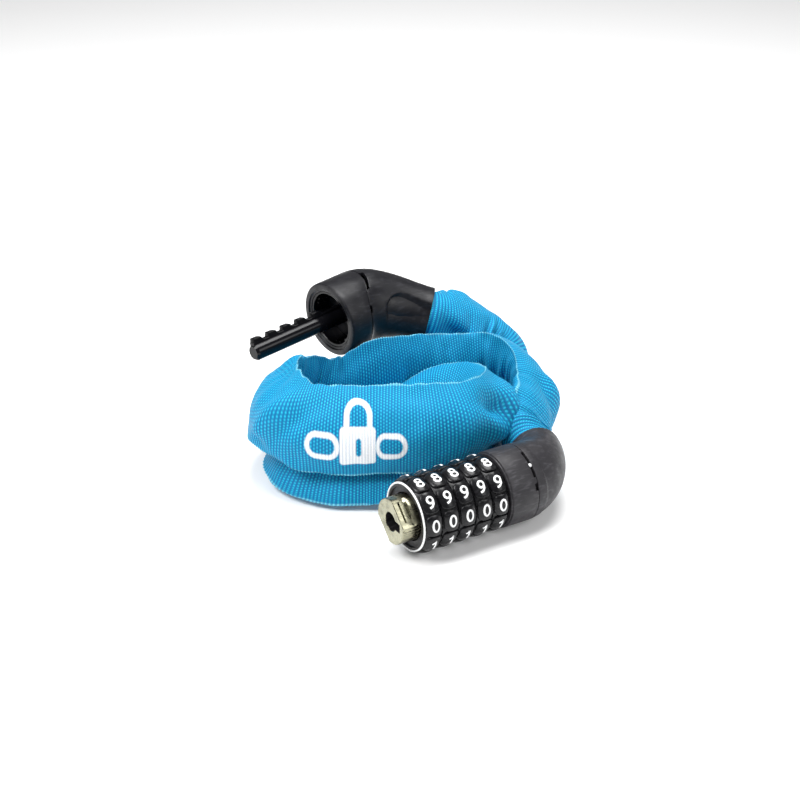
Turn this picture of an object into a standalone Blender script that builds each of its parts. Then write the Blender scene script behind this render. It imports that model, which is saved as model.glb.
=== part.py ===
"""Combination chain lock: a five-dial lock head and a keeper with a toothed bolt, joined by a sleeved chain.

Lengths below are millimetres. The lock head's axis lies along +X, its mouth faces -X, and it rests on z = 0.
Positions "in" the lock head are measured along its axis from the front face, positive towards the chain.
"""
import math

import bmesh
import bpy
from mathutils import Matrix, Vector

MM = 0.001
GAP = 0.3
WELD = 0.00001

# The coil is laid out in a frame of its own, turned about Z against the lock head and shifted to centre it.
LAYOUT_TURN = math.radians(-31.5)
LAYOUT_SHIFT = (-6.4, -4.65)

# Dials
DIAL_COUNT = 5
DIAL_PITCH = 7.4
DIAL_WIDTH = 7.2
DIAL_RADIUS = 15.0
DIAL_GROOVE = 1.0
DIAL_BORE = 12.15
DIAL_START = 0.65
DIGITS = 10
INDEX_ANGLE = math.radians(82.0)
CODE_RING_RADIUS = 12.0
CODE_RING_BORE = 6.0
CODE_RING_WIDTH = 3.0
CODE_RING_OFFSET = 3.8
GATE_WIDTH = 3.6
GATE_DEPTH = 2.0

# Lock head
FACE_AT = (2.0, -55.5, DIAL_RADIUS)
CORE_RADIUS = 9.0
CORE_PROUD = 6.5
CORE_FLAT = 7.9
CORE_FLAT_ANGLE = math.radians(33.0)
BORE_RADIUS = 3.7
SLOT_WIDTH = 3.6
SLOT_REACH = 6.4
CAP_RADIUS = 12.75
RING_RADIUS = 13.4
BARREL_RADIUS = 5.85
BARREL_BORE = 3.9
BARREL_START = 4.6
BARREL_END = 44.5
HOUSING_START = 37.65
HOUSING_END = 49.7
HOUSING_RADIUS = 15.0
HOUSING_WALL = 1.6
BLOCK_START = 41.8
BLOCK_END = 48.5
LUG_END = 57.0
RIVET_AT = 54.0
LUG_GAP = 6.0
LUG_WIDTH = 10.0
ELBOW_START = 50.0
ELBOW_BEND = 18.5
ELBOW_TURN = math.radians(80.0)
ELBOW_END_RADIUS = 11.4
COVER_WALL = 1.4

# Keeper head: its local +Z runs from the rim towards the chain, and its local +X is the teeth's side.
KEEPER_AT = (-29.0, 46.3, 47.9)
KEEPER_HEADING = math.radians(41.3)
KEEPER_SLOPE = math.radians(3.8)
KEEPER_ROLL = math.radians(14.8)
KEEPER_RADIUS = 15.6
CUP_BORE = 12.0
CUP_DEPTH = 9.5
CUP_END = 13.0
SEAM_TILT = math.radians(11.0)
LINER_BORE = 10.9
RIB_COUNT = 3
PIN_RADIUS = 3.5
PIN_REACH = 39.0
PIN_ROOT = 13.5
TOOTH_TOP = 5.7
TOOTH_ROOT = 4.1
TOOTH_FLAT = 3.4
FIRST_TOOTH = 2.7
TEETH_WIDTH = 3.0
KEEPER_RIVET_AT = 21.8
KEEPER_RIVET_TURN = math.radians(35.7)
KEEPER_END = (12.0, 60.0, 44.0)
KEEPER_END_HEADING = (0.97, -0.07, -0.22)
KEEPER_END_RADIUS = 11.4

# Chain and sleeve
WIRE_RADIUS = 1.25
LINK_SPAN = 6.8
LINK_COUNT = 33
LINK_OVERLAP = 4.3
LINK_ARC = 6
RIVET_TO_JOINT = 1.5
PATH_POINTS = 4000
SLEEVE_WALL = 0.8
SLEEVE_TUCK = 3.0
SLEEVE_ROUND = 15.8
SLEEVE_SIDES = 12
SLEEVE_STATIONS = 58

# The sleeve's route between the two covers, in the layout frame: x, y, z, lean of its flat from upright in
# degrees (90 lies flat), width and thickness.
ROUTE = [
    (50.2, 3.0, 15.8, -62, 18.8, 17.4),
    (53.5, 13.0, 19.5, -44, 22.0, 16.4),
    (54.5, 25.0, 24.0, -36, 24.0, 16.4),
    (50.0, 37.5, 28.5, -30, 24.0, 16.4),
    (39.0, 46.5, 29.5, -22, 23.0, 16.4),
    (23.0, 48.5, 27.5, -15, 22.0, 16.4),
    (5.0, 45.5, 25.0, -12, 22.0, 16.2),
    (-12.0, 41.0, 23.8, -12, 21.0, 16.2),
    (-28.0, 36.0, 24.0, -12, 21.0, 16.4),
    (-42.0, 29.0, 28.0, -15, 23.0, 16.6),
    (-50.5, 15.5, 29.5, -18, 24.0, 16.8),
    (-50.5, 0.0, 30.5, -18, 25.0, 16.8),
    (-41.5, -12.0, 31.0, -18, 26.0, 16.6),
    (-26.0, -17.0, 31.0, -16, 26.0, 16.2),
    (-9.0, -17.5, 31.0, -16, 26.0, 16.2),
    (7.0, -17.5, 31.0, -16, 26.0, 16.4),
    (20.0, -14.5, 31.0, -10, 25.0, 16.8),
    (30.0, -6.5, 30.5, -4, 24.0, 17.0),
    (33.0, 5.5, 30.0, 0, 24.0, 17.0),
    (28.5, 17.0, 28.0, 8, 22.0, 16.8),
    (18.0, 24.0, 23.5, 24, 21.0, 16.4),
    (5.0, 26.0, 17.0, 50, 21.0, 16.2),
    (-9.5, 25.5, 11.0, 78, 22.0, 16.2),
    (-23.5, 24.5, 8.6, 90, 24.0, 16.2),
    (-36.0, 18.5, 8.6, 90, 24.0, 16.2),
    (-41.5, 6.5, 8.6, 90, 24.0, 16.2),
    (-36.5, -5.5, 8.6, 90, 24.0, 16.2),
    (-24.0, -11.5, 8.6, 90, 25.0, 16.2),
    (-10.0, -12.5, 8.6, 90, 25.0, 16.2),
    (5.0, -12.5, 8.6, 90, 24.0, 16.2),
    (18.5, -9.5, 8.6, 90, 21.0, 16.2),
    (28.5, -1.0, 8.6, 90, 18.6, 16.2),
    (33.0, 11.0, 8.6, 90, 18.6, 16.2),
    (35.0, 25.0, 8.6, 90, 19.0, 16.2),
    (38.0, 38.5, 8.6, 90, 19.5, 16.2),
    (42.4, 51.2, 9.2, 88, 20.0, 16.6),
    (45.7, 62.3, 16.5, 84, 20.0, 16.8),
    (44.0, 68.5, 24.6, 78, 20.0, 17.0),
    (35.4, 69.6, 32.3, 70, 20.0, 17.0),
    (26.4, 65.7, 38.5, 60, 19.0, 16.8),
    (18.5, 61.5, 41.8, 50, 17.6, 17.0),
]


def clear_scene():
    for obj in list(bpy.data.objects):
        bpy.data.objects.remove(obj)


def new_collection(name):
    collection = bpy.data.collections.new(name)
    bpy.context.scene.collection.children.link(collection)
    return collection


def make_material(name, colour, roughness, metallic=0.0):
    material = bpy.data.materials.new(name)
    material.use_nodes = True
    shader = material.node_tree.nodes["Principled BSDF"]
    shader.inputs["Base Color"].default_value = (*colour, 1.0)
    shader.inputs["Roughness"].default_value = roughness
    shader.inputs["Metallic"].default_value = metallic
    return material


clear_scene()
PARTS = new_collection("chain_lock")
CUTTERS = new_collection("cutters")
MATERIALS = {
    "housing_plastic": make_material("housing_plastic", (0.02, 0.021, 0.024), 0.4),
    "dial_plastic": make_material("dial_plastic", (0.015, 0.016, 0.019), 0.35),
    "zinc": make_material("zinc", (0.72, 0.7, 0.52), 0.32, 1.0),
    "white_plastic": make_material("white_plastic", (0.85, 0.86, 0.86), 0.5),
    "bolt_steel": make_material("bolt_steel", (0.01, 0.01, 0.012), 0.2),
    "steel": make_material("steel", (0.6, 0.6, 0.6), 0.35, 1.0),
    "brass": make_material("brass", (0.75, 0.55, 0.25), 0.35, 1.0),
    "sleeve_fabric": make_material("sleeve_fabric", (0.0, 0.33, 0.8), 0.85),
}


# Frames

def layout(x, y, z):
    """Turn a layout position in millimetres into a world position in metres."""
    spun = Matrix.Rotation(LAYOUT_TURN, 3, "Z") @ Vector((x, y, z))
    return (spun + Vector((*LAYOUT_SHIFT, 0.0))) * MM


def layout_direction(x, y, z):
    return (Matrix.Rotation(LAYOUT_TURN, 3, "Z") @ Vector((x, y, z))).normalized()


def frame_matrix(origin, x_axis, z_axis):
    """A frame with +Z along z_axis and +X as near to x_axis as it can be."""
    z_axis = z_axis.normalized()
    y_axis = z_axis.cross(x_axis).normalized()
    columns = Matrix((y_axis.cross(z_axis), y_axis, z_axis)).transposed()
    return Matrix.Translation(origin) @ columns.to_4x4()


def lock_frame():
    return frame_matrix(layout(*FACE_AT), Vector((0, 0, 1)), Vector((1, 0, 0)))


def keeper_axis():
    flat = math.cos(KEEPER_SLOPE)
    return layout_direction(
        math.cos(KEEPER_HEADING) * flat, math.sin(KEEPER_HEADING) * flat, math.sin(KEEPER_SLOPE)
    )


def keeper_frame():
    upright = frame_matrix(layout(*KEEPER_AT), Vector((0, 0, 1)), keeper_axis())
    return upright @ Matrix.Rotation(-KEEPER_ROLL, 4, "Z")


def along(frame, distance):
    return frame @ Matrix.Translation((0, 0, distance * MM))


# Modelling helpers. Each takes millimetres and gives an object in metres.

def add_object(name, data, material=None, frame=None, collection=None):
    obj = bpy.data.objects.new(name, data)
    (collection or PARTS).objects.link(obj)
    if material:
        data.materials.append(MATERIALS[material])
    if frame is not None:
        obj.matrix_world = frame
    return obj


def shade(obj):
    obj.data.shade_smooth()
    obj.data.set_sharp_from_angle(angle=math.radians(35))


def turned(name, profile, frame, material, steps=24):
    """A ring turned about +Z from a closed profile of (radius, distance along the axis) points."""
    area = sum(a[0] * b[1] - b[0] * a[1] for a, b in zip(profile, profile[1:] + profile[:1]))
    if area > 0:
        profile = profile[::-1]
    closed = min(radius for radius, _ in profile) > 0
    mesh = bpy.data.meshes.new(name)
    points = [(radius * MM, 0.0, distance * MM) for radius, distance in profile]
    edges = [(i, i + 1) for i in range(len(points) - 1)]
    if closed:
        edges.append((len(points) - 1, 0))
    mesh.from_pydata(points, edges, [])
    obj = add_object(name, mesh, material, frame)
    screw = obj.modifiers.new("turn", "SCREW")
    screw.steps = steps
    screw.render_steps = steps
    screw.use_merge_vertices = True
    screw.merge_threshold = WELD
    screw.use_smooth_shade = True
    return obj


def plate(name, outlines, depth, frame, material):
    """A flat plate on local z from 0 to depth: the first outline is its edge, and any others are its holes."""
    curve = bpy.data.curves.new(name, "CURVE")
    curve.dimensions = "2D"
    curve.fill_mode = "BOTH"
    curve.extrude = depth * MM / 2
    for outline in outlines:
        spline = curve.splines.new("POLY")
        spline.points.add(len(outline) - 1)
        spline.use_cyclic_u = True
        for point, (x, y) in zip(spline.points, outline):
            point.co = (x * MM, y * MM, 0.0, 1.0)
    return add_object(name, curve, material, along(frame, depth / 2))


def prism(name, outline, depth, frame, material=None, collection=None):
    """An outline in local x and y, drawn out along local z from 0 to depth."""
    shape = bmesh.new()
    face = shape.faces.new([shape.verts.new((x * MM, y * MM, 0.0)) for x, y in outline])
    drawn = bmesh.ops.extrude_face_region(shape, geom=[face])["geom"]
    bmesh.ops.translate(
        shape, vec=(0, 0, depth * MM), verts=[item for item in drawn if isinstance(item, bmesh.types.BMVert)]
    )
    bmesh.ops.recalc_face_normals(shape, faces=shape.faces)
    mesh = bpy.data.meshes.new(name)
    shape.to_mesh(mesh)
    shape.free()
    return add_object(name, mesh, material, frame, collection)


def box_outline(x0, x1, y0, y1):
    return [(x0, y0), (x1, y0), (x1, y1), (x0, y1)]


def circle_outline(radius, count, start=0.0):
    step = 2 * math.pi / count
    return [(radius * math.cos(start + i * step), radius * math.sin(start + i * step)) for i in range(count)]


def tool(obj):
    """Keep an object as a cutter that the model leaves out."""
    obj.hide_render = True
    obj.display_type = "WIRE"
    return obj


def box_tool(name, x_range, y_range, z_range, frame):
    outline = box_outline(*x_range, *y_range)
    return tool(prism(name, outline, z_range[1] - z_range[0], along(frame, z_range[0]), collection=CUTTERS))


def round_tool(name, radius, z_range, frame, count=20):
    outline = circle_outline(radius, count)
    return tool(prism(name, outline, z_range[1] - z_range[0], along(frame, z_range[0]), collection=CUTTERS))


def combine(obj, other, operation):
    boolean = obj.modifiers.new(other.name, "BOOLEAN")
    boolean.operation = operation
    boolean.object = other
    boolean.solver = "EXACT"


def loft(name, rings, material, wall):
    """A shell through closed rings of world points, its wall grown inwards."""
    shape = bmesh.new()
    rows = [[shape.verts.new(point) for point in ring] for ring in rings]
    for near, far in zip(rows, rows[1:]):
        for i, vert in enumerate(near):
            after = (i + 1) % len(near)
            shape.faces.new((vert, near[after], far[after], far[i]))
    shape.faces.ensure_lookup_table()
    centre = sum((vert.co for vert in rows[0]), Vector()) / len(rows[0])
    first = shape.faces[0]
    first.normal_update()
    if first.normal.dot(first.calc_center_median() - centre) < 0:
        bmesh.ops.reverse_faces(shape, faces=shape.faces)
    mesh = bpy.data.meshes.new(name)
    shape.to_mesh(mesh)
    shape.free()
    obj = add_object(name, mesh, material)
    skin = obj.modifiers.new("wall", "SOLIDIFY")
    skin.thickness = wall * MM
    skin.offset = -1.0
    skin.use_even_offset = True
    shade(obj)
    return obj


def wire_curve(name, points, radius, material, frame=None, cyclic=False, sides=2):
    curve = bpy.data.curves.new(name, "CURVE")
    curve.dimensions = "3D"
    curve.bevel_depth = radius * MM
    curve.bevel_resolution = sides
    curve.use_fill_caps = True
    spline = curve.splines.new("POLY")
    spline.points.add(len(points) - 1)
    spline.use_cyclic_u = cyclic
    for point, place in zip(spline.points, points):
        point.co = (*place, 1.0)
    return add_object(name, curve, material, frame)


# Curves in space

def catmull_rom(points, steps):
    """A smooth curve through points of any number of values, with steps samples in each stretch."""
    ends = [tuple(2 * a - b for a, b in zip(points[0], points[1]))]
    tail = [tuple(2 * a - b for a, b in zip(points[-1], points[-2]))]
    padded = ends + list(points) + tail
    curve = []
    for a, b, c, d in zip(padded, padded[1:], padded[2:], padded[3:]):
        for step in range(steps):
            t = step / steps
            curve.append(tuple(
                0.5 * (2 * q + (r - p) * t + (2 * p - 5 * q + 4 * r - s) * t * t + (3 * q - p - 3 * r + s) * t ** 3)
                for p, q, r, s in zip(a, b, c, d)
            ))
    return curve + [points[-1]]


def resample(curve, count):
    """Count points at equal distances along a dense curve whose first three values are a position."""
    travelled = [0.0]
    for a, b in zip(curve, curve[1:]):
        travelled.append(travelled[-1] + math.dist(a[:3], b[:3]))
    points, near = [], 0
    for i in range(count):
        target = travelled[-1] * i / (count - 1)
        while near < len(curve) - 2 and travelled[near + 1] < target:
            near += 1
        part = (target - travelled[near]) / (travelled[near + 1] - travelled[near])
        points.append(tuple(p + (q - p) * part for p, q in zip(curve[near], curve[near + 1])))
    return points, travelled[-1]


def ring_points(centre, wide, thick, width, depth, count):
    """A closed oval ring of points with its long axis along wide."""
    ring = []
    for i in range(count):
        angle = 2 * math.pi * i / count
        ring.append(centre + wide * (math.cos(angle) * width / 2) + thick * (math.sin(angle) * depth / 2))
    return ring


def elbow_point(angle):
    """The lock head's cover bends in the flat: its centre and direction after turning by angle."""
    frame = lock_frame()
    ahead = frame.to_3x3() @ Vector((0, 0, 1))
    left = Vector((0, 0, 1)).cross(ahead)
    start = (along(frame, ELBOW_START)).translation
    centre = start + (ahead * math.sin(angle) + left * (1 - math.cos(angle))) * ELBOW_BEND * MM
    return centre, ahead * math.cos(angle) + left * math.sin(angle)


def keeper_end():
    return layout(*KEEPER_END), layout_direction(*KEEPER_END_HEADING)


def seam_frame():
    """The keeper's seam, turned about the vertical towards the bend."""
    frame = along(keeper_frame(), CUP_END)
    turn = Matrix.Rotation(-SEAM_TILT, 3, "Z")
    normal = turn @ (frame.to_3x3() @ Vector((0, 0, 1)))
    return frame.translation, normal


def keeper_curve(t):
    """The keeper cover's centre line from its seam, t = 0, to its end, t = 1: position and direction."""
    start, _ = seam_frame()
    go = keeper_axis()
    end, leave = keeper_end()
    pull = (end - start).length * 1.05
    near = start * (2 * t ** 3 - 3 * t ** 2 + 1) + go * pull * (t ** 3 - 2 * t ** 2 + t)
    far = end * (3 * t ** 2 - 2 * t ** 3) + leave * pull * (t ** 3 - t ** 2)
    slope = (start * (6 * t ** 2 - 6 * t) + go * pull * (3 * t ** 2 - 4 * t + 1)
             + end * (6 * t - 6 * t ** 2) + leave * pull * (3 * t ** 2 - 2 * t))
    return near + far, slope.normalized()


# Lock head

def make_core(frame):
    proud = -CORE_PROUD
    core = turned("reset_core", [
        (1.0, proud), (CORE_RADIUS - 0.4, proud), (CORE_RADIUS, proud + 0.4), (CORE_RADIUS, proud + 3.0),
        (7.4, proud + 3.0), (7.4, proud + 4.0), (8.6, proud + 4.0), (8.6, 4.2), (1.0, 4.2),
    ], frame, "zinc", steps=36)
    for side, start in (("front", 0.0), ("back", math.pi)):
        turn = frame @ Matrix.Rotation(CORE_FLAT_ANGLE + start, 4, "Z")
        depth = (proud - 1, 1.5)
        combine(core, box_tool("flat_" + side, (CORE_FLAT, 12), (-12, 12), depth, turn), "DIFFERENCE")
    through = (proud - 1, 6.0)
    combine(core, round_tool("keyhole_round", BORE_RADIUS, through, frame), "DIFFERENCE")
    slot = (-SLOT_WIDTH / 2, SLOT_WIDTH / 2)
    combine(core, box_tool("keyhole_slot", slot, (0, SLOT_REACH), through, frame), "DIFFERENCE")


def make_front(frame):
    turned("front_cap", [
        (CAP_RADIUS, 0.0), (CAP_RADIUS, 0.5), (CODE_RING_RADIUS, 0.5), (CODE_RING_RADIUS, 3.4),
        (8.9, 3.4), (8.9, 2.4), (11.2, 2.4), (11.2, 0.0),
    ], frame, "housing_plastic", steps=36)
    turned("index_ring", [
        (CAP_RADIUS + 0.1, 0.0), (RING_RADIUS, 0.0), (RING_RADIUS, 0.4), (CAP_RADIUS + 0.1, 0.4),
    ], frame, "white_plastic", steps=36)


def dial_outline():
    """A ring of pads, each a short arc, with a shallow groove after each one."""
    points = []
    pitch = 2 * math.pi / DIGITS
    for pad in range(DIGITS):
        middle = INDEX_ANGLE + pad * pitch
        for offset, radius in ((-0.34, DIAL_RADIUS), (0.0, DIAL_RADIUS), (0.34, DIAL_RADIUS),
                               (0.5, DIAL_RADIUS - DIAL_GROOVE)):
            angle = middle + offset * pitch
            points.append((radius * math.cos(angle), radius * math.sin(angle)))
    return points


def gate_outline():
    """The bore of a code ring, with a gate on its +Y side that lets one tooth of the bolt pass."""
    half = math.asin(GATE_WIDTH / 2 / CODE_RING_BORE)
    sweep = 2 * math.pi - 2 * half
    points = []
    for i in range(17):
        angle = math.pi / 2 + half + sweep * i / 16
        points.append((CODE_RING_BORE * math.cos(angle), CODE_RING_BORE * math.sin(angle)))
    top = CODE_RING_BORE + GATE_DEPTH
    return points + [(GATE_WIDTH / 2, top), (-GATE_WIDTH / 2, top)]


def make_dials(frame):
    for i in range(DIAL_COUNT):
        start = DIAL_START + i * DIAL_PITCH
        bore = circle_outline(DIAL_BORE, 30)
        plate(f"dial_{i + 1}", [dial_outline(), bore], DIAL_WIDTH, along(frame, start), "dial_plastic")
        plate(f"code_ring_{i + 1}", [circle_outline(CODE_RING_RADIUS, 30), gate_outline()],
              CODE_RING_WIDTH, along(frame, start + CODE_RING_OFFSET), "brass")


def barrel_outline():
    """A split ring: the gap on its +Y side takes the bolt's teeth."""
    points = []
    for radius, count in ((BARREL_RADIUS, 18), (BARREL_BORE, 14)):
        half = math.asin(SLOT_WIDTH / 2 / radius)
        arc = [math.pi / 2 + half + (2 * math.pi - 2 * half) * i / count for i in range(count + 1)]
        ring = [(radius * math.cos(a), radius * math.sin(a)) for a in arc]
        points += ring if radius == BARREL_RADIUS else ring[::-1]
    return points


def make_barrel(frame):
    plate("core_barrel", [barrel_outline()], BARREL_END - BARREL_START, along(frame, BARREL_START), "steel")
    turns, per_turn, pitch, radius = 2.5, 12, 1.2, 7.8
    start = DIAL_START + (DIAL_COUNT - 1) * DIAL_PITCH + CODE_RING_OFFSET + CODE_RING_WIDTH + 0.7
    points = []
    for i in range(int(turns * per_turn) + 1):
        angle = 2 * math.pi * i / per_turn
        height = start + pitch * i / per_turn
        points.append((radius * MM * math.cos(angle), radius * MM * math.sin(angle), height * MM))
    wire_curve("code_spring", points, 0.4, "steel", frame)
    turned("thrust_washer", [(6.2, 41.2), (9.0, 41.2), (9.0, 41.6), (6.2, 41.6)], frame, "steel")


def chain_block(name, disc, lug_end, rivet_at, frame, material):
    """A turned disc with two lugs behind it and a hole through them for the chain's rivet."""
    block = turned(name, disc, frame, material)
    back = max(distance for _, distance in disc)
    lug = LUG_GAP / 2 + 2.2
    combine(block, box_tool(name + "_lugs", (-lug, lug), (-LUG_WIDTH / 2, LUG_WIDTH / 2), (back - 1, lug_end), frame),
            "UNION")
    half = LUG_GAP / 2
    combine(block, box_tool(name + "_gap", (-half, half), (-LUG_WIDTH, LUG_WIDTH), (back, lug_end + 1), frame),
            "DIFFERENCE")
    across = along(frame, rivet_at) @ Matrix.Rotation(math.pi / 2, 4, "Y")
    combine(block, round_tool(name + "_hole", 1.7, (-9, 9), across, count=12), "DIFFERENCE")
    return across


def make_rivet(name, across):
    head, stem, lug = 2.6, 1.3, LUG_GAP / 2 + 2.5
    turned(name, [
        (0.0, lug + 1.0), (head, lug + 1.0), (head, lug), (stem, lug),
        (stem, -lug), (head, -lug), (head, -lug - 1.0), (0.0, -lug - 1.0),
    ], across, "steel", steps=12)


def make_rear(frame):
    inner = HOUSING_RADIUS - HOUSING_WALL
    turned("rear_housing", [
        (HOUSING_RADIUS, HOUSING_START + 0.3), (HOUSING_RADIUS, HOUSING_END), (inner, HOUSING_END),
        (inner, HOUSING_START + 1.6), (9.6, HOUSING_START + 1.6), (9.6, HOUSING_START),
        (HOUSING_RADIUS - 0.3, HOUSING_START),
    ], frame, "housing_plastic", steps=36)
    disc = [(6.15, BLOCK_START), (12.3, BLOCK_START), (12.3, BLOCK_END), (6.15, BLOCK_END)]
    across = chain_block("anchor_block", disc, LUG_END, RIVET_AT, frame, "zinc")
    make_rivet("chain_rivet", across)


def make_elbow():
    stations = 10
    rings = []
    for i in range(stations + 1):
        part = i / stations
        centre, ahead = elbow_point(ELBOW_TURN * part)
        ease = part * part * (3 - 2 * part)
        radius = HOUSING_RADIUS + (ELBOW_END_RADIUS - HOUSING_RADIUS) * ease
        up = Vector((0, 0, 1))
        size = 2 * radius * MM
        rings.append(ring_points(centre, up, up.cross(ahead), size, size, 24))
    loft("elbow_cover", rings, "housing_plastic", COVER_WALL)


# Keeper head

def make_cup(frame):
    tilt = math.tan(SEAM_TILT) * KEEPER_RADIUS
    cup = turned("keeper_cup", [
        (KEEPER_RADIUS - 0.8, 0.0), (KEEPER_RADIUS, 0.8), (KEEPER_RADIUS, CUP_END + tilt),
        (13.2, CUP_END + tilt), (13.2, CUP_DEPTH + 1.4), (3.8, CUP_DEPTH + 1.4), (3.8, CUP_DEPTH),
        (CUP_BORE, CUP_DEPTH), (CUP_BORE, 0.0),
    ], frame, "housing_plastic", steps=36)
    centre, normal = seam_frame()
    beyond = frame_matrix(centre - normal * GAP * MM / 2, Vector((0, 0, 1)), normal)
    combine(cup, box_tool("seam_cut", (-30, 30), (-30, 30), (0, 20), beyond), "DIFFERENCE")
    turned("keeper_liner", [
        (LINER_BORE, 0.9), (CUP_BORE - 0.15, 0.9), (CUP_BORE - 0.15, CUP_DEPTH - GAP), (LINER_BORE, CUP_DEPTH - GAP),
    ], frame, "bolt_steel", steps=36)
    for i in range(RIB_COUNT):
        turn = frame @ Matrix.Rotation(math.radians(35 + 120 * i), 4, "Z")
        rib = box_tool(f"rib_{i + 1}", (LINER_BORE - 1.6, LINER_BORE + 0.4), (-1.2, 1.2), (3.0, 8.0), turn)
        combine(bpy.data.objects["keeper_liner"], rib, "UNION")


def teeth_outline():
    """The bolt's ridge from the side: distance along the bolt, then height off its axis."""
    points = [(-2.5, 0.5), (-2.5, TOOTH_ROOT)]
    for i in reversed(range(DIAL_COUNT)):
        middle = -PIN_REACH + FIRST_TOOTH + i * DIAL_PITCH
        front = middle - TOOTH_FLAT / 2
        points += [(front + TOOTH_FLAT + 1.2, TOOTH_ROOT), (front + TOOTH_FLAT, TOOTH_TOP), (front, TOOTH_TOP),
                   (front - 0.4, TOOTH_ROOT)]
    return points + [(-PIN_REACH + 0.4, TOOTH_ROOT), (-PIN_REACH + 0.4, 0.5)]


def make_bolt(frame):
    bolt = turned("bolt_pin", [
        (0.0, PIN_ROOT), (PIN_RADIUS, PIN_ROOT), (PIN_RADIUS, -PIN_REACH + 1.2), (PIN_RADIUS - 1.0, -PIN_REACH),
        (0.0, -PIN_REACH),
    ], frame, "bolt_steel", steps=16)
    side = frame @ Matrix(((0, 1, 0, 0), (0, 0, 1, 0), (1, 0, 0, 0), (0, 0, 0, 1)))
    ridge = prism("bolt_teeth", teeth_outline(), TEETH_WIDTH, along(side, -TEETH_WIDTH / 2), collection=CUTTERS)
    combine(bolt, tool(ridge), "UNION")


def make_keeper_base(frame):
    start = CUP_DEPTH + 1.4 + GAP
    end = PIN_ROOT + GAP
    disc = [(0.0, end + 2.0), (11.6, end + 2.0), (11.6, start), (3.8, start), (3.8, end), (0.0, end)]
    turn = frame @ Matrix.Rotation(KEEPER_RIVET_TURN, 4, "Z")
    across = chain_block("keeper_base", disc, KEEPER_RIVET_AT + 2.8, KEEPER_RIVET_AT, turn, "zinc")
    make_rivet("keeper_rivet", across)


def make_keeper_cover():
    centre, seam_normal = seam_frame()
    stations = 9
    rings = []
    for i in range(stations + 1):
        part = i / stations
        point, ahead = keeper_curve(part)
        blend = max(0.0, 1 - 3 * part)
        normal = (ahead * (1 - blend) + seam_normal * blend).normalized()
        if i == 0:
            point = centre + seam_normal * GAP * MM / 2
        ease = part * part * (3 - 2 * part)
        size = 2 * (KEEPER_RADIUS - 0.1 + (KEEPER_END_RADIUS - KEEPER_RADIUS) * ease) * MM
        wide = normal.cross(Vector((0, 0, 1))).normalized()
        rings.append(ring_points(point, wide, wide.cross(normal), size, size, 24))
    loft("keeper_cover", rings, "housing_plastic", COVER_WALL)


# Chain and sleeve

def sleeve_curve():
    """The sleeve's centre line and section, from inside one cover to inside the other, dense."""
    unspin = Matrix.Rotation(-LAYOUT_TURN, 3, "Z")
    tuck = SLEEVE_TUCK / ELBOW_BEND
    points = []
    for angle in (ELBOW_TURN - tuck, ELBOW_TURN):
        centre, _ = elbow_point(angle)
        flat = unspin @ (centre / MM - Vector((*LAYOUT_SHIFT, 0.0)))
        points.append((*flat, -75, SLEEVE_ROUND, SLEEVE_ROUND))
    points += ROUTE
    end = Vector(KEEPER_END)
    inward = -Vector(KEEPER_END_HEADING).normalized() * SLEEVE_TUCK
    points.append((*end, 50, SLEEVE_ROUND, SLEEVE_ROUND))
    points.append((*(end + inward), 45, SLEEVE_ROUND, SLEEVE_ROUND))
    return catmull_rom(points, 12)


def make_sleeve():
    stations, _ = resample(sleeve_curve(), SLEEVE_STATIONS)
    places = [layout(*station[:3]) for station in stations]
    rings = []
    for i, station in enumerate(stations):
        ahead = (places[min(i + 1, len(places) - 1)] - places[max(i - 1, 0)]).normalized()
        lean = math.radians(station[3])
        side = Vector((0, 0, 1)).cross(ahead).normalized()
        up = ahead.cross(side)
        wide = up * math.cos(lean) - side * math.sin(lean)
        rings.append(ring_points(places[i], wide, wide.cross(ahead), station[4] * MM, station[5] * MM,
                                 SLEEVE_SIDES))
    loft("sleeve", rings, "sleeve_fabric", SLEEVE_WALL)


def chain_path():
    """World points from one rivet to the other, held to the outside of each bend as a chain's joints are."""
    points = [along(lock_frame(), RIVET_AT - RIVET_TO_JOINT).translation]
    angle = (RIVET_AT - ELBOW_START) / ELBOW_BEND
    points += [elbow_point(angle + (ELBOW_TURN - angle) * i / 20)[0] for i in range(5, 19)]
    points += [layout(*point[:3]) for point in sleeve_curve()[12:-12]]
    points += [keeper_curve(1 - 0.5 * i / 12)[0] for i in range(1, 12)]
    points.append(along(keeper_frame(), KEEPER_RIVET_AT - RIVET_TO_JOINT).translation)
    smooth, length = resample(catmull_rom([tuple(point) for point in points], 3), PATH_POINTS)
    line = [Vector(point) for point in smooth]
    reach = round(PATH_POINTS / LINK_COUNT / 2)
    held = list(line)
    for i in range(reach, len(line) - reach):
        held[i] = line[i] - (line[i - reach] + line[i + reach] - 2 * line[i]) / 4
    return held, length


def chain_joints(path, pitch):
    """Joints a pitch apart along the path, or fewer than the chain has where the path ends first."""
    joints = [path[0]]
    near = 0
    while len(joints) < LINK_COUNT:
        while near < len(path) and (path[near] - joints[-1]).length < pitch:
            near += 1
        if near == len(path):
            break
        joints.append(path[near])
    return joints


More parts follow.
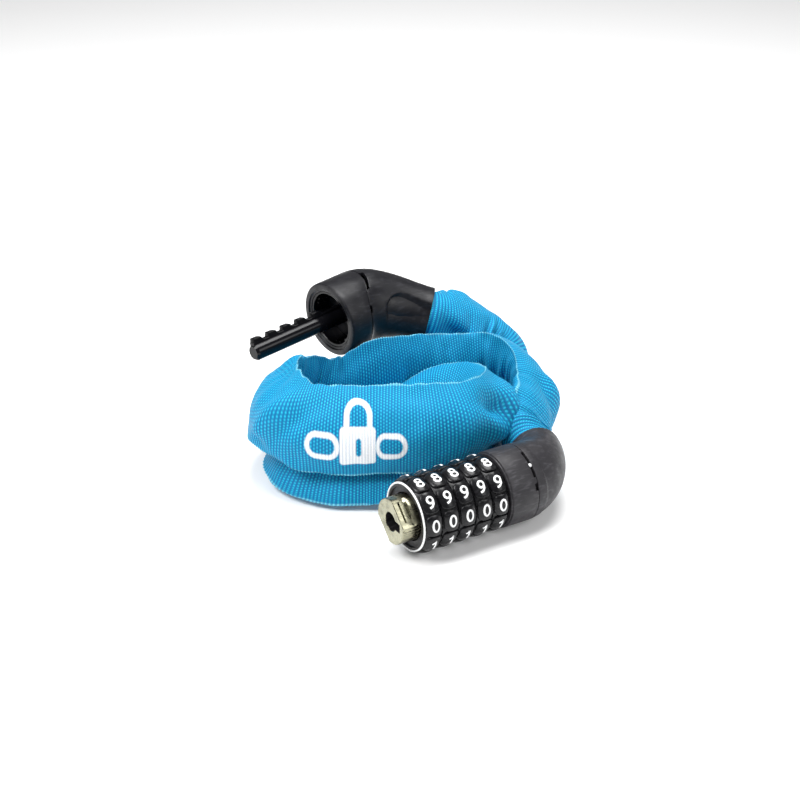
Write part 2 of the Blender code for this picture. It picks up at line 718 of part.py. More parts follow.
def make_links():
    """Every link reaches a little past its two joints, and alternate links are a quarter turn apart."""
    path, _ = chain_path()
    low, high = 10 * MM, 30 * MM
    for _ in range(20):
        pitch = (low + high) / 2
        joints = chain_joints(path, pitch)
        if len(joints) < LINK_COUNT or (path[-1] - joints[-1]).length < pitch:
            high = pitch
        else:
            low = pitch
    joints = chain_joints(path, low) + [path[-1]]
    aheads = [(end - start).normalized() for start, end in zip(joints, joints[1:])]
    levels = [Vector((0, 0, 1)).cross(aheads[0]).normalized()]
    for before, ahead in zip(aheads, aheads[1:]):
        levels.append(before.rotation_difference(ahead) @ levels[-1])
    held = keeper_frame().to_3x3() @ Matrix.Rotation(KEEPER_RIVET_TURN, 3, "Z") @ Vector((0, 1, 0))
    off = math.atan2(held.dot(aheads[-1].cross(levels[-1])), held.dot(levels[-1]))
    twist = (off + math.pi / 2) % math.pi - math.pi / 2
    for i, (ahead, level) in enumerate(zip(aheads, levels)):
        angle = i * math.pi / 2 + twist * i / (LINK_COUNT - 1)
        side = level * math.cos(angle) + ahead.cross(level) * math.sin(angle)
        start, end = joints[i:i + 2]
        add_link(f"link_{i + 1:02d}", (start + end) / 2, ahead, side, (end - start).length)


def add_link(name, centre, ahead, side, pitch):
    """A stadium of wire whose long axis runs along ahead, in the plane of ahead and side."""
    half_round = (LINK_SPAN / 2 + WIRE_RADIUS) * MM
    straight = (pitch + LINK_OVERLAP * MM) / 2 - half_round
    points = []
    for end in (1, -1):
        for i in range(LINK_ARC + 1):
            angle = math.pi * i / LINK_ARC - math.pi / 2
            points.append((
                end * (straight + half_round * math.cos(angle)), end * half_round * math.sin(angle), 0.0,
            ))
    frame = Matrix((ahead, side, ahead.cross(side))).transposed().to_4x4()
    wire_curve(name, points, WIRE_RADIUS, "steel", Matrix.Translation(centre) @ frame, cyclic=True, sides=1)


def build():
    head = lock_frame()
    make_core(head)
    make_front(head)
    make_dials(head)
    make_barrel(head)
    make_rear(head)
    make_elbow()
    keeper = keeper_frame()
    make_cup(keeper)
    make_bolt(keeper)
    make_keeper_base(keeper)
    make_keeper_cover()
    make_sleeve()
    make_links()


build()
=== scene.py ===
"""Looks of the combination chain lock: woven sleeve, number dials, zinc core, plastic covers and black bolt.

Sizes are millimetres until a point becomes a world position. The lock head's axis lies along +X.
"""
import math

import bmesh
import bpy
from mathutils import Matrix, Vector, noise


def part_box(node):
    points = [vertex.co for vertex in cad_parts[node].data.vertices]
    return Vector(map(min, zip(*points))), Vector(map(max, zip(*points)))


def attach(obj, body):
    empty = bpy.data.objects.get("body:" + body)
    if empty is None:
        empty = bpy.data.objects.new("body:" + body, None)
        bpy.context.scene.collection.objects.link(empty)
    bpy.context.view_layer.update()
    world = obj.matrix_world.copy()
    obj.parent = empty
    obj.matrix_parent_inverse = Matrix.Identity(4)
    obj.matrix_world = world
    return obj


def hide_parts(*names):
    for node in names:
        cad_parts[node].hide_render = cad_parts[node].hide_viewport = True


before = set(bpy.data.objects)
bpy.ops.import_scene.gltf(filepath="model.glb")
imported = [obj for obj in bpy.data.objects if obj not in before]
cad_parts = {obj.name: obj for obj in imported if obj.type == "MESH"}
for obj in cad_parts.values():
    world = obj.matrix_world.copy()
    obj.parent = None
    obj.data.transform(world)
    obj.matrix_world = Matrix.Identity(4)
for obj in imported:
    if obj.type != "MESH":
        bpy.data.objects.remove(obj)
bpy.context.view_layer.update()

MM = 0.001
Z_AXIS = Vector((0, 0, 1))

# The coil's own frame, in which the sleeve's route and the stage are given: turned about Z, then moved
LAYOUT_TURN = math.radians(-31.5)
LAYOUT_SHIFT = (-6.4, -4.65)

# Camera
CAMERA_DISTANCE = 760.0
CAMERA_RISE = math.radians(27.3)
CAMERA_TARGET = (0.0, 0.0, 35.0)
CAMERA_LENS = 87.66

# Lock head, measured along its axis from the front face
DIAL_COUNT = 5
DIAL_PITCH = 7.4
DIAL_WIDTH = 7.2
DIAL_START = 0.65
DIAL_BORE = 12.15
DIAL_RADIUS = 15.0
PAD_COUNT = 10
PAD_TURN = math.radians(36)
PAD_LENGTH = 8.7
PAD_WIDTH = 6.7
PAD_CORNER = 2.1
PAD_TOP = 14.98
PAD_DROP_ACROSS = 0.95
PAD_DROP_AROUND = 0.1
DIGIT_HEIGHT = 5.0
DIGIT_WIDTH = 3.3
DIGIT_STROKE = 0.78
ZERO_ANGLE = math.radians(82.0)
CORE_RADIUS = 9.0
CORE_FLAT_REACH = 7.0
CORE_FLAT_ANGLE = math.radians(44.0)
CORE_GROOVES = (45.0, 50.0, 57.0, 66.0)
CORE_GROOVE_DEPTH = 0.16
CORE_GROOVE_SPREAD = 1.6
SAW_CUT = (-34, 27)
SAW_CUT_DEPTH = 1.3
KEYHOLE_RADIUS = 3.7
KEYHOLE_SLOT_HALF = 1.8
KEYHOLE_SLOT_REACH = 6.4
COLLAR_END = 49.75
COLLAR_RADIUS = 15.0
COLLAR_SLOTS = ((12.0, 57.0, 0.95), (65.0, 76.0, 1.2))
DOT_ANGLE = 37.0
ELBOW_START = 50.0
ELBOW_BEND = 18.5
ELBOW_TURN = math.radians(80.0)
ELBOW_END_RADIUS = 11.4
ELBOW_NARROWING = 1.7
COVER_WALL = 1.4

# Keeper head
KEEPER_AT = (-29.0, 46.3, 47.9)
KEEPER_HEADING = math.radians(41.3)
KEEPER_SLOPE = math.radians(3.8)
KEEPER_ROLL = math.radians(14.8)
KEEPER_RADIUS = 15.6
CUP_END = 13.0
CUP_DEPTH = 9.5
SEAM_TILT = math.radians(11.0)
KEEPER_SLOTS = ((20.0, 54.0, 1.8), (78.0, 89.0, 1.0))
NOTCH_ANGLE = 90.0
NOTCH_START = 0.36
NOTCH_DEPTH = 3.0
PIN_RADIUS = 3.5
PIN_REACH = 39.0
PIN_ROOT = 13.5
TOOTH_TOP = 5.7
TOOTH_ROOT = 4.1
TOOTH_FLAT = 3.4
TOOTH_FRONT_SLOPE = 0.35
TOOTH_BACK_SLOPE = 1.1
FIRST_TOOTH = 2.7
KEEPER_END = (12.0, 60.0, 44.0)
KEEPER_END_HEADING = (0.97, -0.07, -0.22)
KEEPER_END_RADIUS = 11.4

# Woven sleeve
RIB_PITCH = 1.14
PICK_PITCH = 0.98
SLEEVE_GIRTH = 74.0
SLEEVE_STEP = 0.6
SLEEVE_SIDES = 56
SLEEVE_TUCK = 4.0
SLEEVE_END_PLAY = 3.2
FLOOR_GAP = 0.15
FOLD_EDGE = (0.975, 0.998)
SCALLOP = 0.26
BUCKLE_PITCH = 8.0
BUCKLE_HEIGHT = 1.5
DEEPEST_WRINKLE = -1.5
MARK_AT = (-16.0, -17.5, 31.0)
MARK_AROUND = 0.75

# The sleeve's colours. The gap colour is painted shade between the threads and the crest colour is a painted
# highlight on their tops.
YARN_GAP_SHADE = (0.0, 0.13, 0.33)
YARN = (0.001, 0.32, 0.53)
YARN_CREST_HIGHLIGHT = (0.012, 0.49, 0.7)
YARN_STAIN = (0.0, 0.22, 0.44)
# Painted highlight along the sleeve's folded edges
YARN_FOLD_HIGHLIGHT = (0.3, 0.84, 0.98)
SLEEVE_INK = (0.88, 0.9, 0.92)

# Lights: place in the coil's frame, size in metres and power
LIGHTS = {
    "key": ((-420, -220, 600), 0.4, 5.2),
    "fill": ((520, -300, 420), 0.45, 2.0),
    "top": ((60, 160, 700), 0.5, 7.0),
}
LIGHT_AIM = (0, 10, 20)
WORLD_LIGHT = 0.24
FLOOR_HALF = 3.0
FLOOR_TONE = (0.86, 0.86, 0.86)
FLOOR_GLOW = 0.08

# The route repeats the frame's, x, y and z in the coil's frame. Then come this sleeve's lean from upright in
# degrees, width across its folds and thickness.
SLEEVE = [
    (50.2, 3, 15.8, -25, 21, 17.4),
    (53.5, 13, 19.5, -18, 27, 16.4),
    (54.5, 25, 24, -30, 33, 15.4),
    (50, 37.5, 28.5, -30, 33, 15),
    (39, 46.5, 29.5, -22, 32, 16.8),
    (23, 48.5, 27.5, -15, 33, 16.8),
    (5, 45.5, 25, -14, 40, 15),
    (-12, 41, 23.8, -14, 40.5, 15.2),
    (-28, 36, 24, -20, 30, 15.4),
    (-42, 29, 28, -32, 35, 14.4),
    (-50.5, 15.5, 29.5, -33, 36, 14.6),
    (-50.5, 0, 30.5, -33, 35.5, 13),
    (-41.5, -12, 31, -27, 35, 14),
    (-26, -17, 31, -21, 34.5, 14.4),
    (-9, -17.5, 31, -20, 34.5, 14),
    (7, -17.5, 31, -19, 34.5, 14),
    (20, -14.5, 31, -12, 34.5, 14.6),
    (30, -6.5, 30.5, -4, 34, 15.6),
    (33, 5.5, 30, 2, 31, 16),
    (28.5, 17, 28, 8, 28, 16),
    (18, 24, 23.5, 24, 27, 15.4),
    (5, 26, 17, 50, 27, 15),
    (-9.5, 25.5, 11, 80, 27, 15),
    (-23.5, 24.5, 8.6, 100, 27, 14.4),
    (-36, 18.5, 8.6, 106, 28, 14.4),
    (-41.5, 6.5, 8.6, 110, 28, 14.4),
    (-36.5, -5.5, 8.6, 112, 29, 14.4),
    (-24, -11.5, 8.6, 113, 30, 14.4),
    (-10, -12.5, 8.6, 112, 29, 14.4),
    (5, -12.5, 8.6, 108, 27, 14.4),
    (18.5, -9.5, 8.6, 100, 24, 14.8),
    (28.5, -1, 8.6, 92, 21, 15.4),
    (33, 11, 8.6, 90, 20, 15.6),
    (35, 25, 8.6, 90, 20, 15.4),
    (38, 38.5, 8.6, 90, 21, 15.4),
    (42.4, 51.2, 9.2, 88, 21, 15.6),
    (45.7, 62.3, 16.5, 84, 19, 16),
    (44, 68.5, 24.6, 72, 17, 15),
    (35.4, 69.6, 32.3, 56, 20, 15),
    (26.4, 65.7, 38.5, 42, 27, 16),
    (18.5, 61.5, 41.8, 34, 25, 17),
]

# Folds pressed into the sleeve: each runs between two points of the coil's frame and lifts the skin near it,
# or sinks it, by so many millimetres, fading over the last number.
FOLDS = [
    ((44, -5, 28), (44, 8, 30), 7.5, 9),
    ((37, -11.5, 42.5), (42, -6, 32), -8.5, 4.8),
    ((45, -3, 42), (47, 2, 33), 2.2, 3.5),
    ((26, -19, 42), (27, -20.5, 26), 1.3, 4),
    ((-41, -13, 45), (-57, -9, 27), 1.7, 3.4),
    ((-36, -19, 42), (-50, -18, 24), -2.2, 4.4),
    ((-56, -6, 20), (-47, -18, 13), -2.6, 4),
    ((-57, 4, 41), (-60, 6, 24), -0.9, 3.5),
    ((-60, 12, 20), (-58, -8, 18), -2.2, 7),
    ((-42, 16, 44), (-38, -2, 45), 4, 5),
    ((-52, 20, 42), (-38, -14, 47), -1.8, 2.6),
    ((16, 53, 44), (23, 54, 36), -3.4, 4.4),
    ((24, 53, 45), (33, 56, 34), 1.8, 3.6),
    ((58, 20, 34), (63, 16, 18), -2.6, 4.2),
    ((62, 28, 30), (64, 26, 20), 1.6, 3.8),
    ((52, 44, 40), (58, 38, 28), -1.8, 4),
]


# Frames

def layout(x, y, z):
    """A world position in metres from a point of the coil's frame in millimetres."""
    spun = Matrix.Rotation(LAYOUT_TURN, 3, "Z") @ Vector((x, y, z))
    return (spun + Vector((*LAYOUT_SHIFT, 0.0))) * MM


def layout_direction(x, y, z):
    return (Matrix.Rotation(LAYOUT_TURN, 3, "Z") @ Vector((x, y, z))).normalized()


def frame_matrix(origin, x_axis, z_axis):
    """A frame with +Z along z_axis and +X as near to x_axis as it can be."""
    z_axis = z_axis.normalized()
    y_axis = z_axis.cross(x_axis).normalized()
    columns = Matrix((y_axis.cross(z_axis), y_axis, z_axis)).transposed()
    return Matrix.Translation(origin) @ columns.to_4x4()


def lock_frame():
    """+Z along the lock head from its front face, +X up and +Y towards the camera's side."""
    low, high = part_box("index_ring")
    face = Vector((low.x, (low.y + high.y) / 2, (low.z + high.z) / 2))
    return frame_matrix(face, Z_AXIS, Vector((1, 0, 0)))


def keeper_axis():
    flat = math.cos(KEEPER_SLOPE)
    return layout_direction(
        math.cos(KEEPER_HEADING) * flat, math.sin(KEEPER_HEADING) * flat, math.sin(KEEPER_SLOPE)
    )


def keeper_frame():
    """+Z from the keeper's rim towards the chain, +X on the side of the bolt's teeth."""
    upright = frame_matrix(layout(*KEEPER_AT), Z_AXIS, keeper_axis())
    return upright @ Matrix.Rotation(-KEEPER_ROLL, 4, "Z")


def elbow_point(angle):
    """The lock head's cover bends in the flat: its centre and direction after turning by angle."""
    base = lock_frame()
    ahead = base.to_3x3() @ Z_AXIS
    left = Z_AXIS.cross(ahead)
    start = base @ Vector((0, 0, ELBOW_START * MM))
    centre = start + (ahead * math.sin(angle) + left * (1 - math.cos(angle))) * ELBOW_BEND * MM
    return centre, ahead * math.cos(angle) + left * math.sin(angle)


def seam_frame():
    """The keeper's seam, turned about the vertical towards the bend: its centre and normal."""
    base = keeper_frame()
    normal = Matrix.Rotation(-SEAM_TILT, 3, "Z") @ (base.to_3x3() @ Z_AXIS)
    return base @ Vector((0, 0, CUP_END * MM)), normal


def keeper_curve(t):
    """The keeper cover's centre line from its seam, t = 0, to its end, t = 1: position and direction."""
    start, _ = seam_frame()
    go = keeper_axis()
    end, leave = layout(*KEEPER_END), layout_direction(*KEEPER_END_HEADING)
    pull = (end - start).length * 1.05
    near = start * (2 * t ** 3 - 3 * t ** 2 + 1) + go * pull * (t ** 3 - 2 * t ** 2 + t)
    far = end * (3 * t ** 2 - 2 * t ** 3) + leave * pull * (t ** 3 - t ** 2)
    slope = (start * (6 * t ** 2 - 6 * t) + go * pull * (3 * t ** 2 - 4 * t + 1)
             + end * (6 * t - 6 * t ** 2) + leave * pull * (3 * t ** 2 - 2 * t))
    return near + far, slope.normalized()


FOLD_LINES = [(layout(*start), layout(*end), amount, fade) for start, end, amount, fade in FOLDS]


# Numbers

def smooth_step(value, low, high):
    t = min(1.0, max(0.0, (value - low) / (high - low)))
    return t * t * (3 - 2 * t)


def catmull_rom(points, steps):
    """A smooth curve through points of any number of values, with steps samples in each stretch."""
    ends = [tuple(2 * a - b for a, b in zip(points[0], points[1]))]
    tail = [tuple(2 * a - b for a, b in zip(points[-1], points[-2]))]
    padded = ends + list(points) + tail
    curve = []
    for a, b, c, d in zip(padded, padded[1:], padded[2:], padded[3:]):
        for step in range(steps):
            t = step / steps
            curve.append(tuple(
                0.5 * (2 * q + (r - p) * t + (2 * p - 5 * q + 4 * r - s) * t * t
                       + (3 * q - p - 3 * r + s) * t ** 3)
                for p, q, r, s in zip(a, b, c, d)
            ))
    return curve + [points[-1]]


def resample(curve, step):
    """Points at equal distances, about step apart, along a dense curve that starts with a position."""
    travelled = [0.0]
    for a, b in zip(curve, curve[1:]):
        travelled.append(travelled[-1] + math.dist(a[:3], b[:3]))
    count = round(travelled[-1] / step) + 1
    points, near = [], 0
    for i in range(count):
        target = travelled[-1] * i / (count - 1)
        while near < len(curve) - 2 and travelled[near + 1] < target:
            near += 1
        part = (target - travelled[near]) / (travelled[near + 1] - travelled[near])
        points.append(tuple(p + (q - p) * part for p, q in zip(curve[near], curve[near + 1])))
    return points


def rounded(corners, radius, steps):
    """A closed outline with each corner replaced by an arc-like curve of about that radius."""
    outline = []
    for before, corner, after in zip(corners[-1:] + corners[:-1], corners, corners[1:] + corners[:1]):
        here = Vector(corner)
        to_before, to_after = Vector(before) - here, Vector(after) - here
        reach = min(radius, to_before.length * 0.45, to_after.length * 0.45)
        start = here + to_before.normalized() * reach
        end = here + to_after.normalized() * reach
        for i in range(steps + 1):
            t = i / steps
            outline.append(tuple(start * (1 - t) ** 2 + here * 2 * t * (1 - t) + end * t * t))
    return outline


def arc(radius, start, end, steps, centre=(0.0, 0.0)):
    """Points on an arc between two angles in degrees."""
    points = []
    for i in range(steps + 1):
        angle = math.radians(start + (end - start) * i / steps)
        points.append((centre[0] + radius * math.cos(angle), centre[1] + radius * math.sin(angle)))
    return points


# Meshes. A piece's points are world positions in metres.

def new_object(name, data):
    obj = bpy.data.objects.new(name, data)
    bpy.context.scene.collection.objects.link(obj)
    return obj


def make_piece(name, mesh, material, body):
    """A piece of one material that rides on a body."""
    obj = new_object(name, mesh)
    mesh.materials.clear()
    mesh.materials.append(material)
    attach(obj, body)
    return obj


def finish_mesh(mesh, sharp):
    """Outward normals, smooth shading, and sharp edges where the surface turns by more than sharp degrees."""
    shape = bmesh.new()
    shape.from_mesh(mesh)
    bmesh.ops.remove_doubles(shape, verts=shape.verts, dist=1e-7)
    bmesh.ops.recalc_face_normals(shape, faces=shape.faces)
    shape.to_mesh(mesh)
    shape.free()
    mesh.shade_smooth()
    mesh.set_sharp_from_angle(angle=math.radians(sharp))
    return mesh


def grid_mesh(name, rows, wrap_rows=False, wrap_points=True, sharp=35):
    """A skin over rows of points with the same number in each."""
    count = len(rows[0])
    verts = [point for row in rows for point in row]
    faces = []
    for i in range(len(rows) - (0 if wrap_rows else 1)):
        after = (i + 1) % len(rows)
        for j in range(count - (0 if wrap_points else 1)):
            beside = (j + 1) % count
            faces.append((i * count + j, i * count + beside, after * count + beside, after * count + j))
    mesh = bpy.data.meshes.new(name)
    mesh.from_pydata(verts, [], faces)
    return finish_mesh(mesh, sharp)


def polar(base, radius, angle, distance):
    """A world point at a radius and angle about a frame's axis and a distance along it, in millimetres."""
    return base @ Vector((radius * math.cos(angle) * MM, radius * math.sin(angle) * MM, distance * MM))


def turned_mesh(name, profile, base, steps, sharp=35):
    """A closed (radius, distance) outline, which may depend on the angle, turned about a frame's axis."""
    rows = []
    for i in range(steps):
        angle = 2 * math.pi * i / steps
        outline = profile(angle) if callable(profile) else profile
        rows.append([polar(base, radius, angle, distance) for radius, distance in outline])
    return grid_mesh(name, rows, wrap_rows=True, sharp=sharp)


def turned(name, profile, base, material, body, steps, sharp=35):
    """A piece made by turning an outline."""
    return make_piece(name, turned_mesh(name, profile, base, steps, sharp), material, body)


def plate_mesh(name, outline, thickness, bevel, base):
    """A flat plate with rounded edges, centred on a frame's XY plane."""
    curve = bpy.data.curves.new(name, "CURVE")
    curve.dimensions = "2D"
    curve.fill_mode = "BOTH"
    curve.extrude = thickness * MM / 2 - bevel * MM
    curve.bevel_depth = bevel * MM
    curve.bevel_resolution = 2
    curve.offset = -bevel * MM
    spline = curve.splines.new("POLY")
    spline.points.add(len(outline) - 1)
    spline.use_cyclic_u = True
    for point, (x, y) in zip(spline.points, outline):
        point.co = (x * MM, y * MM, 0.0, 1.0)
    return curve_mesh(curve, base)


def curve_mesh(curve, place):
    """The mesh of a curve, moved into the world."""
    holder = new_object("holder", curve)
    evaluated = holder.evaluated_get(bpy.context.evaluated_depsgraph_get())
    mesh = bpy.data.meshes.new_from_object(evaluated)
    mesh.transform(place)
    bpy.data.objects.remove(holder)
    return mesh


def joined(name, meshes):
    """One mesh from several."""
    shape = bmesh.new()
    for mesh in meshes:
        shape.from_mesh(mesh)
    whole = bpy.data.meshes.new(name)
    shape.to_mesh(whole)
    shape.free()
    return whole


# Materials

def new_material(name, colour, roughness, metallic=0.0):
    """A material, its node tree and its shader."""
    material = bpy.data.materials.new(name)
    material.use_nodes = True
    shader = material.node_tree.nodes["Principled BSDF"]
    shader.inputs["Base Color"].default_value = (*colour, 1.0)
    shader.inputs["Roughness"].default_value = roughness
    shader.inputs["Metallic"].default_value = metallic
    return material, material.node_tree, shader


def add_node(tree, kind, **settings):
    made = tree.nodes.new(kind)
    for key, value in settings.items():
        setattr(made, key, value)
    return made


def plug(tree, socket, value):
    """Put a number, a tuple or another node's output into a socket."""
    if isinstance(value, bpy.types.NodeSocket):
        tree.links.new(value, socket)
    else:
        socket.default_value = value


def maths(tree, operation, *values):
    made = add_node(tree, "ShaderNodeMath", operation=operation)
    for socket, value in zip(made.inputs, values):
        plug(tree, socket, value)
    return made.outputs[0]


def times(tree, first, second):
    return maths(tree, "MULTIPLY", first, second)


def mapped(tree, value, low, high, out_low=0.0, out_high=1.0, smooth=True):
    """A value's range from low to high, moved to the range from out_low to out_high."""
    made = add_node(tree, "ShaderNodeMapRange")
    if smooth:
        made.interpolation_type = "SMOOTHSTEP"
    for socket, item in zip(made.inputs, (value, low, high, out_low, out_high)):
        plug(tree, socket, item)
    return made.outputs[0]


def mixed(tree, factor, first, second):
    """The first colour where the factor is 0, and the second where it is 1."""
    made = add_node(tree, "ShaderNodeMix", data_type="RGBA")
    plug(tree, made.inputs[0], factor)
    for socket, colour in ((made.inputs[6], first), (made.inputs[7], second)):
        plug(tree, socket, colour if isinstance(colour, bpy.types.NodeSocket) else (*colour, 1.0))
    return made.outputs[2]


def place_noise(tree, scale, detail=3.0, stretch=(1.0, 1.0, 1.0)):
    """Noise fixed to the object's own points."""
    place = add_node(tree, "ShaderNodeTexCoord").outputs["Object"]
    mapping = add_node(tree, "ShaderNodeMapping")
    plug(tree, mapping.inputs["Vector"], place)
    plug(tree, mapping.inputs["Scale"], stretch)
    texture = add_node(tree, "ShaderNodeTexNoise")
    plug(tree, texture.inputs["Vector"], mapping.outputs[0])
    plug(tree, texture.inputs["Scale"], scale)
    plug(tree, texture.inputs["Detail"], detail)
    return texture.outputs["Fac"]


def bumped(tree, shader, height, distance, strength):
    made = add_node(tree, "ShaderNodeBump")
    plug(tree, made.inputs["Strength"], strength)
    plug(tree, made.inputs["Distance"], distance)
    plug(tree, made.inputs["Height"], height)
    plug(tree, shader.inputs["Normal"], made.outputs[0])


def moulded_plastic(name, colour, roughness, grain=0.00004):
    """Black plastic with a fine moulded grain, soft smears of gloss and faint scuffs."""
    material, tree, shader = new_material(name, colour, roughness)
    smear = place_noise(tree, 260.0, 4.0)
    scuff = place_noise(tree, 900.0, 2.0, (0.25, 1.0, 1.0))
    light = tuple(min(1.0, part * 1.9 + 0.006) for part in colour)
    plug(tree, shader.inputs["Base Color"], mixed(tree, mapped(tree, scuff, 0.5, 0.75), colour, light))
    plug(tree, shader.inputs["Roughness"], mapped(tree, smear, 0.3, 0.7, roughness - 0.07, roughness + 0.09))
    shader.inputs["Specular IOR Level"].default_value = 0.26
    bumped(tree, shader, place_noise(tree, 2600.0, 2.0), grain, 0.6)
    return material


def cast_metal(name, colour, roughness):
    """Cast or rolled metal with fine streaks, faint stains and a slightly uneven gloss."""
    material, tree, shader = new_material(name, colour, roughness, 1.0)
    stain = place_noise(tree, 220.0, 4.0)
    streak = place_noise(tree, 700.0, 3.0, (0.12, 1.0, 1.0))
    dark = tuple(part * 0.62 for part in colour)
    plug(tree, shader.inputs["Base Color"], mixed(tree, mapped(tree, stain, 0.42, 0.72), colour, dark))
    plug(tree, shader.inputs["Roughness"], mapped(tree, streak, 0.3, 0.7, roughness - 0.08, roughness + 0.12))
    bumped(tree, shader, place_noise(tree, 1500.0, 3.0), 0.00003, 0.7)
    return material


def gloss_black(name):
    """Black paint with a thin clear coat."""
    material, tree, shader = new_material(name, (0.003, 0.003, 0.004), 0.2)
    plug(tree, shader.inputs["Roughness"], mapped(tree, place_noise(tree, 300.0), 0.3, 0.7, 0.08, 0.17))
    shader.inputs["Specular IOR Level"].default_value = 0.16
    shader.inputs["Coat Weight"].default_value = 0.03
    shader.inputs["Coat Roughness"].default_value = 0.12
    bumped(tree, shader, place_noise(tree, 700.0, 2.0), 0.00002, 0.5)
    return material


def white_ink(name):
    """Slightly uneven matt white."""
    material, tree, shader = new_material(name, (0.86, 0.87, 0.87), 0.5)
    tone = mapped(tree, place_noise(tree, 1800.0, 3.0), 0.3, 0.8)
    plug(tree, shader.inputs["Base Color"], mixed(tree, tone, (0.9, 0.91, 0.91), (0.7, 0.71, 0.72)))
    bumped(tree, shader, place_noise(tree, 3000.0, 2.0), 0.00002, 0.4)
    return material


def rounded_box_distance(tree, x, y, half, radius):
    """Signed distance in millimetres from a rounded box about the origin."""
    sides = []
    for value, reach in ((x, half[0]), (y, half[1])):
        outside = maths(tree, "SUBTRACT", maths(tree, "ABSOLUTE", value), reach - radius)
        sides.append(maths(tree, "MAXIMUM", outside, 0.0))
    squares = [times(tree, side, side) for side in sides]
    return maths(tree, "SUBTRACT", maths(tree, "SQRT", maths(tree, "ADD", *squares)), radius)


def ring_of(tree, distance, width):
    """The band of half that width along the edge of a shape given by its signed distance."""
    return maths(tree, "SUBTRACT", maths(tree, "ABSOLUTE", distance), width / 2)


def padlock_mark(tree, x, y):
    """How much of a plain padlock between two chain links covers a point, from 0 to 1."""
    body = rounded_box_distance(tree, x, maths(tree, "ADD", y, 4.0), (6.6, 5.6), 1.4)
    bow = rounded_box_distance(tree, x, maths(tree, "SUBTRACT", y, 2.5), (4.3, 6.2), 4.3)
    hole = rounded_box_distance(tree, x, maths(tree, "ADD", y, 4.2), (1.0, 2.6), 1.0)
    aside = maths(tree, "SUBTRACT", maths(tree, "ABSOLUTE", x), 12.6)
    link = rounded_box_distance(tree, aside, maths(tree, "ADD", y, 4.0), (5.2, 3.0), 3.0)
    shape = maths(tree, "MINIMUM", body, ring_of(tree, bow, 2.0))
    shape = maths(tree, "MAXIMUM", shape, times(tree, hole, -1.0))
    shape = maths(tree, "MINIMUM", shape, ring_of(tree, link, 1.6))
    return mapped(tree, shape, 0.25, -0.25, smooth=False)


def woven(name, mark_at):
    """Bright blue weave of ribs crossed by picks, with painted shade between threads, painted highlights on
    their crests and along the folds, and a printed mark.
    """
    material, tree, shader = new_material(name, (0.0, 0.3, 0.83), 0.6)
    weave = add_node(tree, "ShaderNodeAttribute", attribute_name="weave")
    split = add_node(tree, "ShaderNodeSeparateXYZ")
    plug(tree, split.inputs[0], weave.outputs["Vector"])
    along, around, fold = split.outputs
    rib_place = maths(tree, "DIVIDE", along, RIB_PITCH)
    rib = maths(tree, "COSINE", times(tree, rib_place, 2 * math.pi))
    row = maths(tree, "MODULO", maths(tree, "ROUND", rib_place), 2.0)
    shifted = times(tree, row, 0.5)
    pick_place = maths(tree, "ADD", maths(tree, "DIVIDE", around, PICK_PITCH), shifted)
    pick = maths(tree, "COSINE", times(tree, pick_place, 2 * math.pi))
    thread = times(tree, mapped(tree, rib, -1.0, 1.0), mapped(tree, pick, -1.0, 1.0, 0.35, 1.0))
    height = maths(tree, "ADD", thread, times(tree, place_noise(tree, 4000.0, 2.0), 0.15))
    # Painted shade in the gaps between threads, then a painted highlight on their crests
    deep = mixed(tree, mapped(tree, thread, 0.05, 0.6), YARN_GAP_SHADE, YARN)
    bright = mixed(tree, mapped(tree, thread, 0.6, 1.0), deep, YARN_CREST_HIGHLIGHT)
    stain = mapped(tree, place_noise(tree, 90.0, 3.0), 0.3, 0.7, 0.0, 0.25)
    uneven = mixed(tree, stain, bright, YARN_STAIN)
    # Painted highlight along the folds' edges, broken up by the ribs
    fold_highlight = times(tree, fold, mapped(tree, rib, -0.6, 0.6, 0.25, 0.8))
    pale = mixed(tree, fold_highlight, uneven, YARN_FOLD_HIGHLIGHT)
    x = maths(tree, "SUBTRACT", along, mark_at[0])
    y = maths(tree, "SUBTRACT", around, mark_at[1])
    printed = times(tree, padlock_mark(tree, x, y), mapped(tree, thread, 0.0, 0.25, 0.75, 1.0))
    plug(tree, shader.inputs["Base Color"], mixed(tree, printed, pale, SLEEVE_INK))
    shader.inputs["Specular IOR Level"].default_value = 0.25
    shader.inputs["Sheen Weight"].default_value = 0.06
    shader.inputs["Sheen Roughness"].default_value = 0.4
    shader.inputs["Sheen Tint"].default_value = (0.5, 0.8, 1.0, 1.0)
    bumped(tree, shader, height, 0.00028, 0.9)
    return material


# The sleeve

def sleeve_stations():
    """Even stations from inside one cover to inside the other: position, lean, width and thickness."""
    unspin = Matrix.Rotation(-LAYOUT_TURN, 3, "Z")
    points = []
    round_start = 2 * ELBOW_END_RADIUS - SLEEVE_END_PLAY
    for angle in (ELBOW_TURN - SLEEVE_TUCK / ELBOW_BEND, ELBOW_TURN):
        flat = unspin @ (elbow_point(angle)[0] / MM - Vector((*LAYOUT_SHIFT, 0.0)))
        points.append((*flat, -70, round_start, round_start))
    points += SLEEVE
    end = Vector(KEEPER_END)
    inward = -Vector(KEEPER_END_HEADING).normalized() * SLEEVE_TUCK
    round_end = 2 * KEEPER_END_RADIUS - SLEEVE_END_PLAY
    points.append((*end, 50, round_end, round_end))
    points.append((*(end + inward), 45, round_end, round_end))
    return resample(catmull_rom(points, 16), SLEEVE_STEP)


def station_frames(stations):
    """At each station: its world place, the directions across the band and through it, and its bend."""
    places = [layout(*station[:3]) for station in stations]
    reach = round(3.0 / SLEEVE_STEP)
    frames = []
    for i, station in enumerate(stations):
        before = places[max(0, i - reach)]
        after = places[min(len(places) - 1, i + reach)]
        ahead = (after - before).normalized()
        side = Z_AXIS.cross(ahead).normalized()
        lean = math.radians(station[3])
        wide = ahead.cross(side) * math.cos(lean) - side * math.sin(lean)
        bend = (after - 2 * places[i] + before) / (reach * SLEEVE_STEP * MM) ** 2 * MM
        frames.append((places[i], wide, wide.cross(ahead), bend))
    return frames


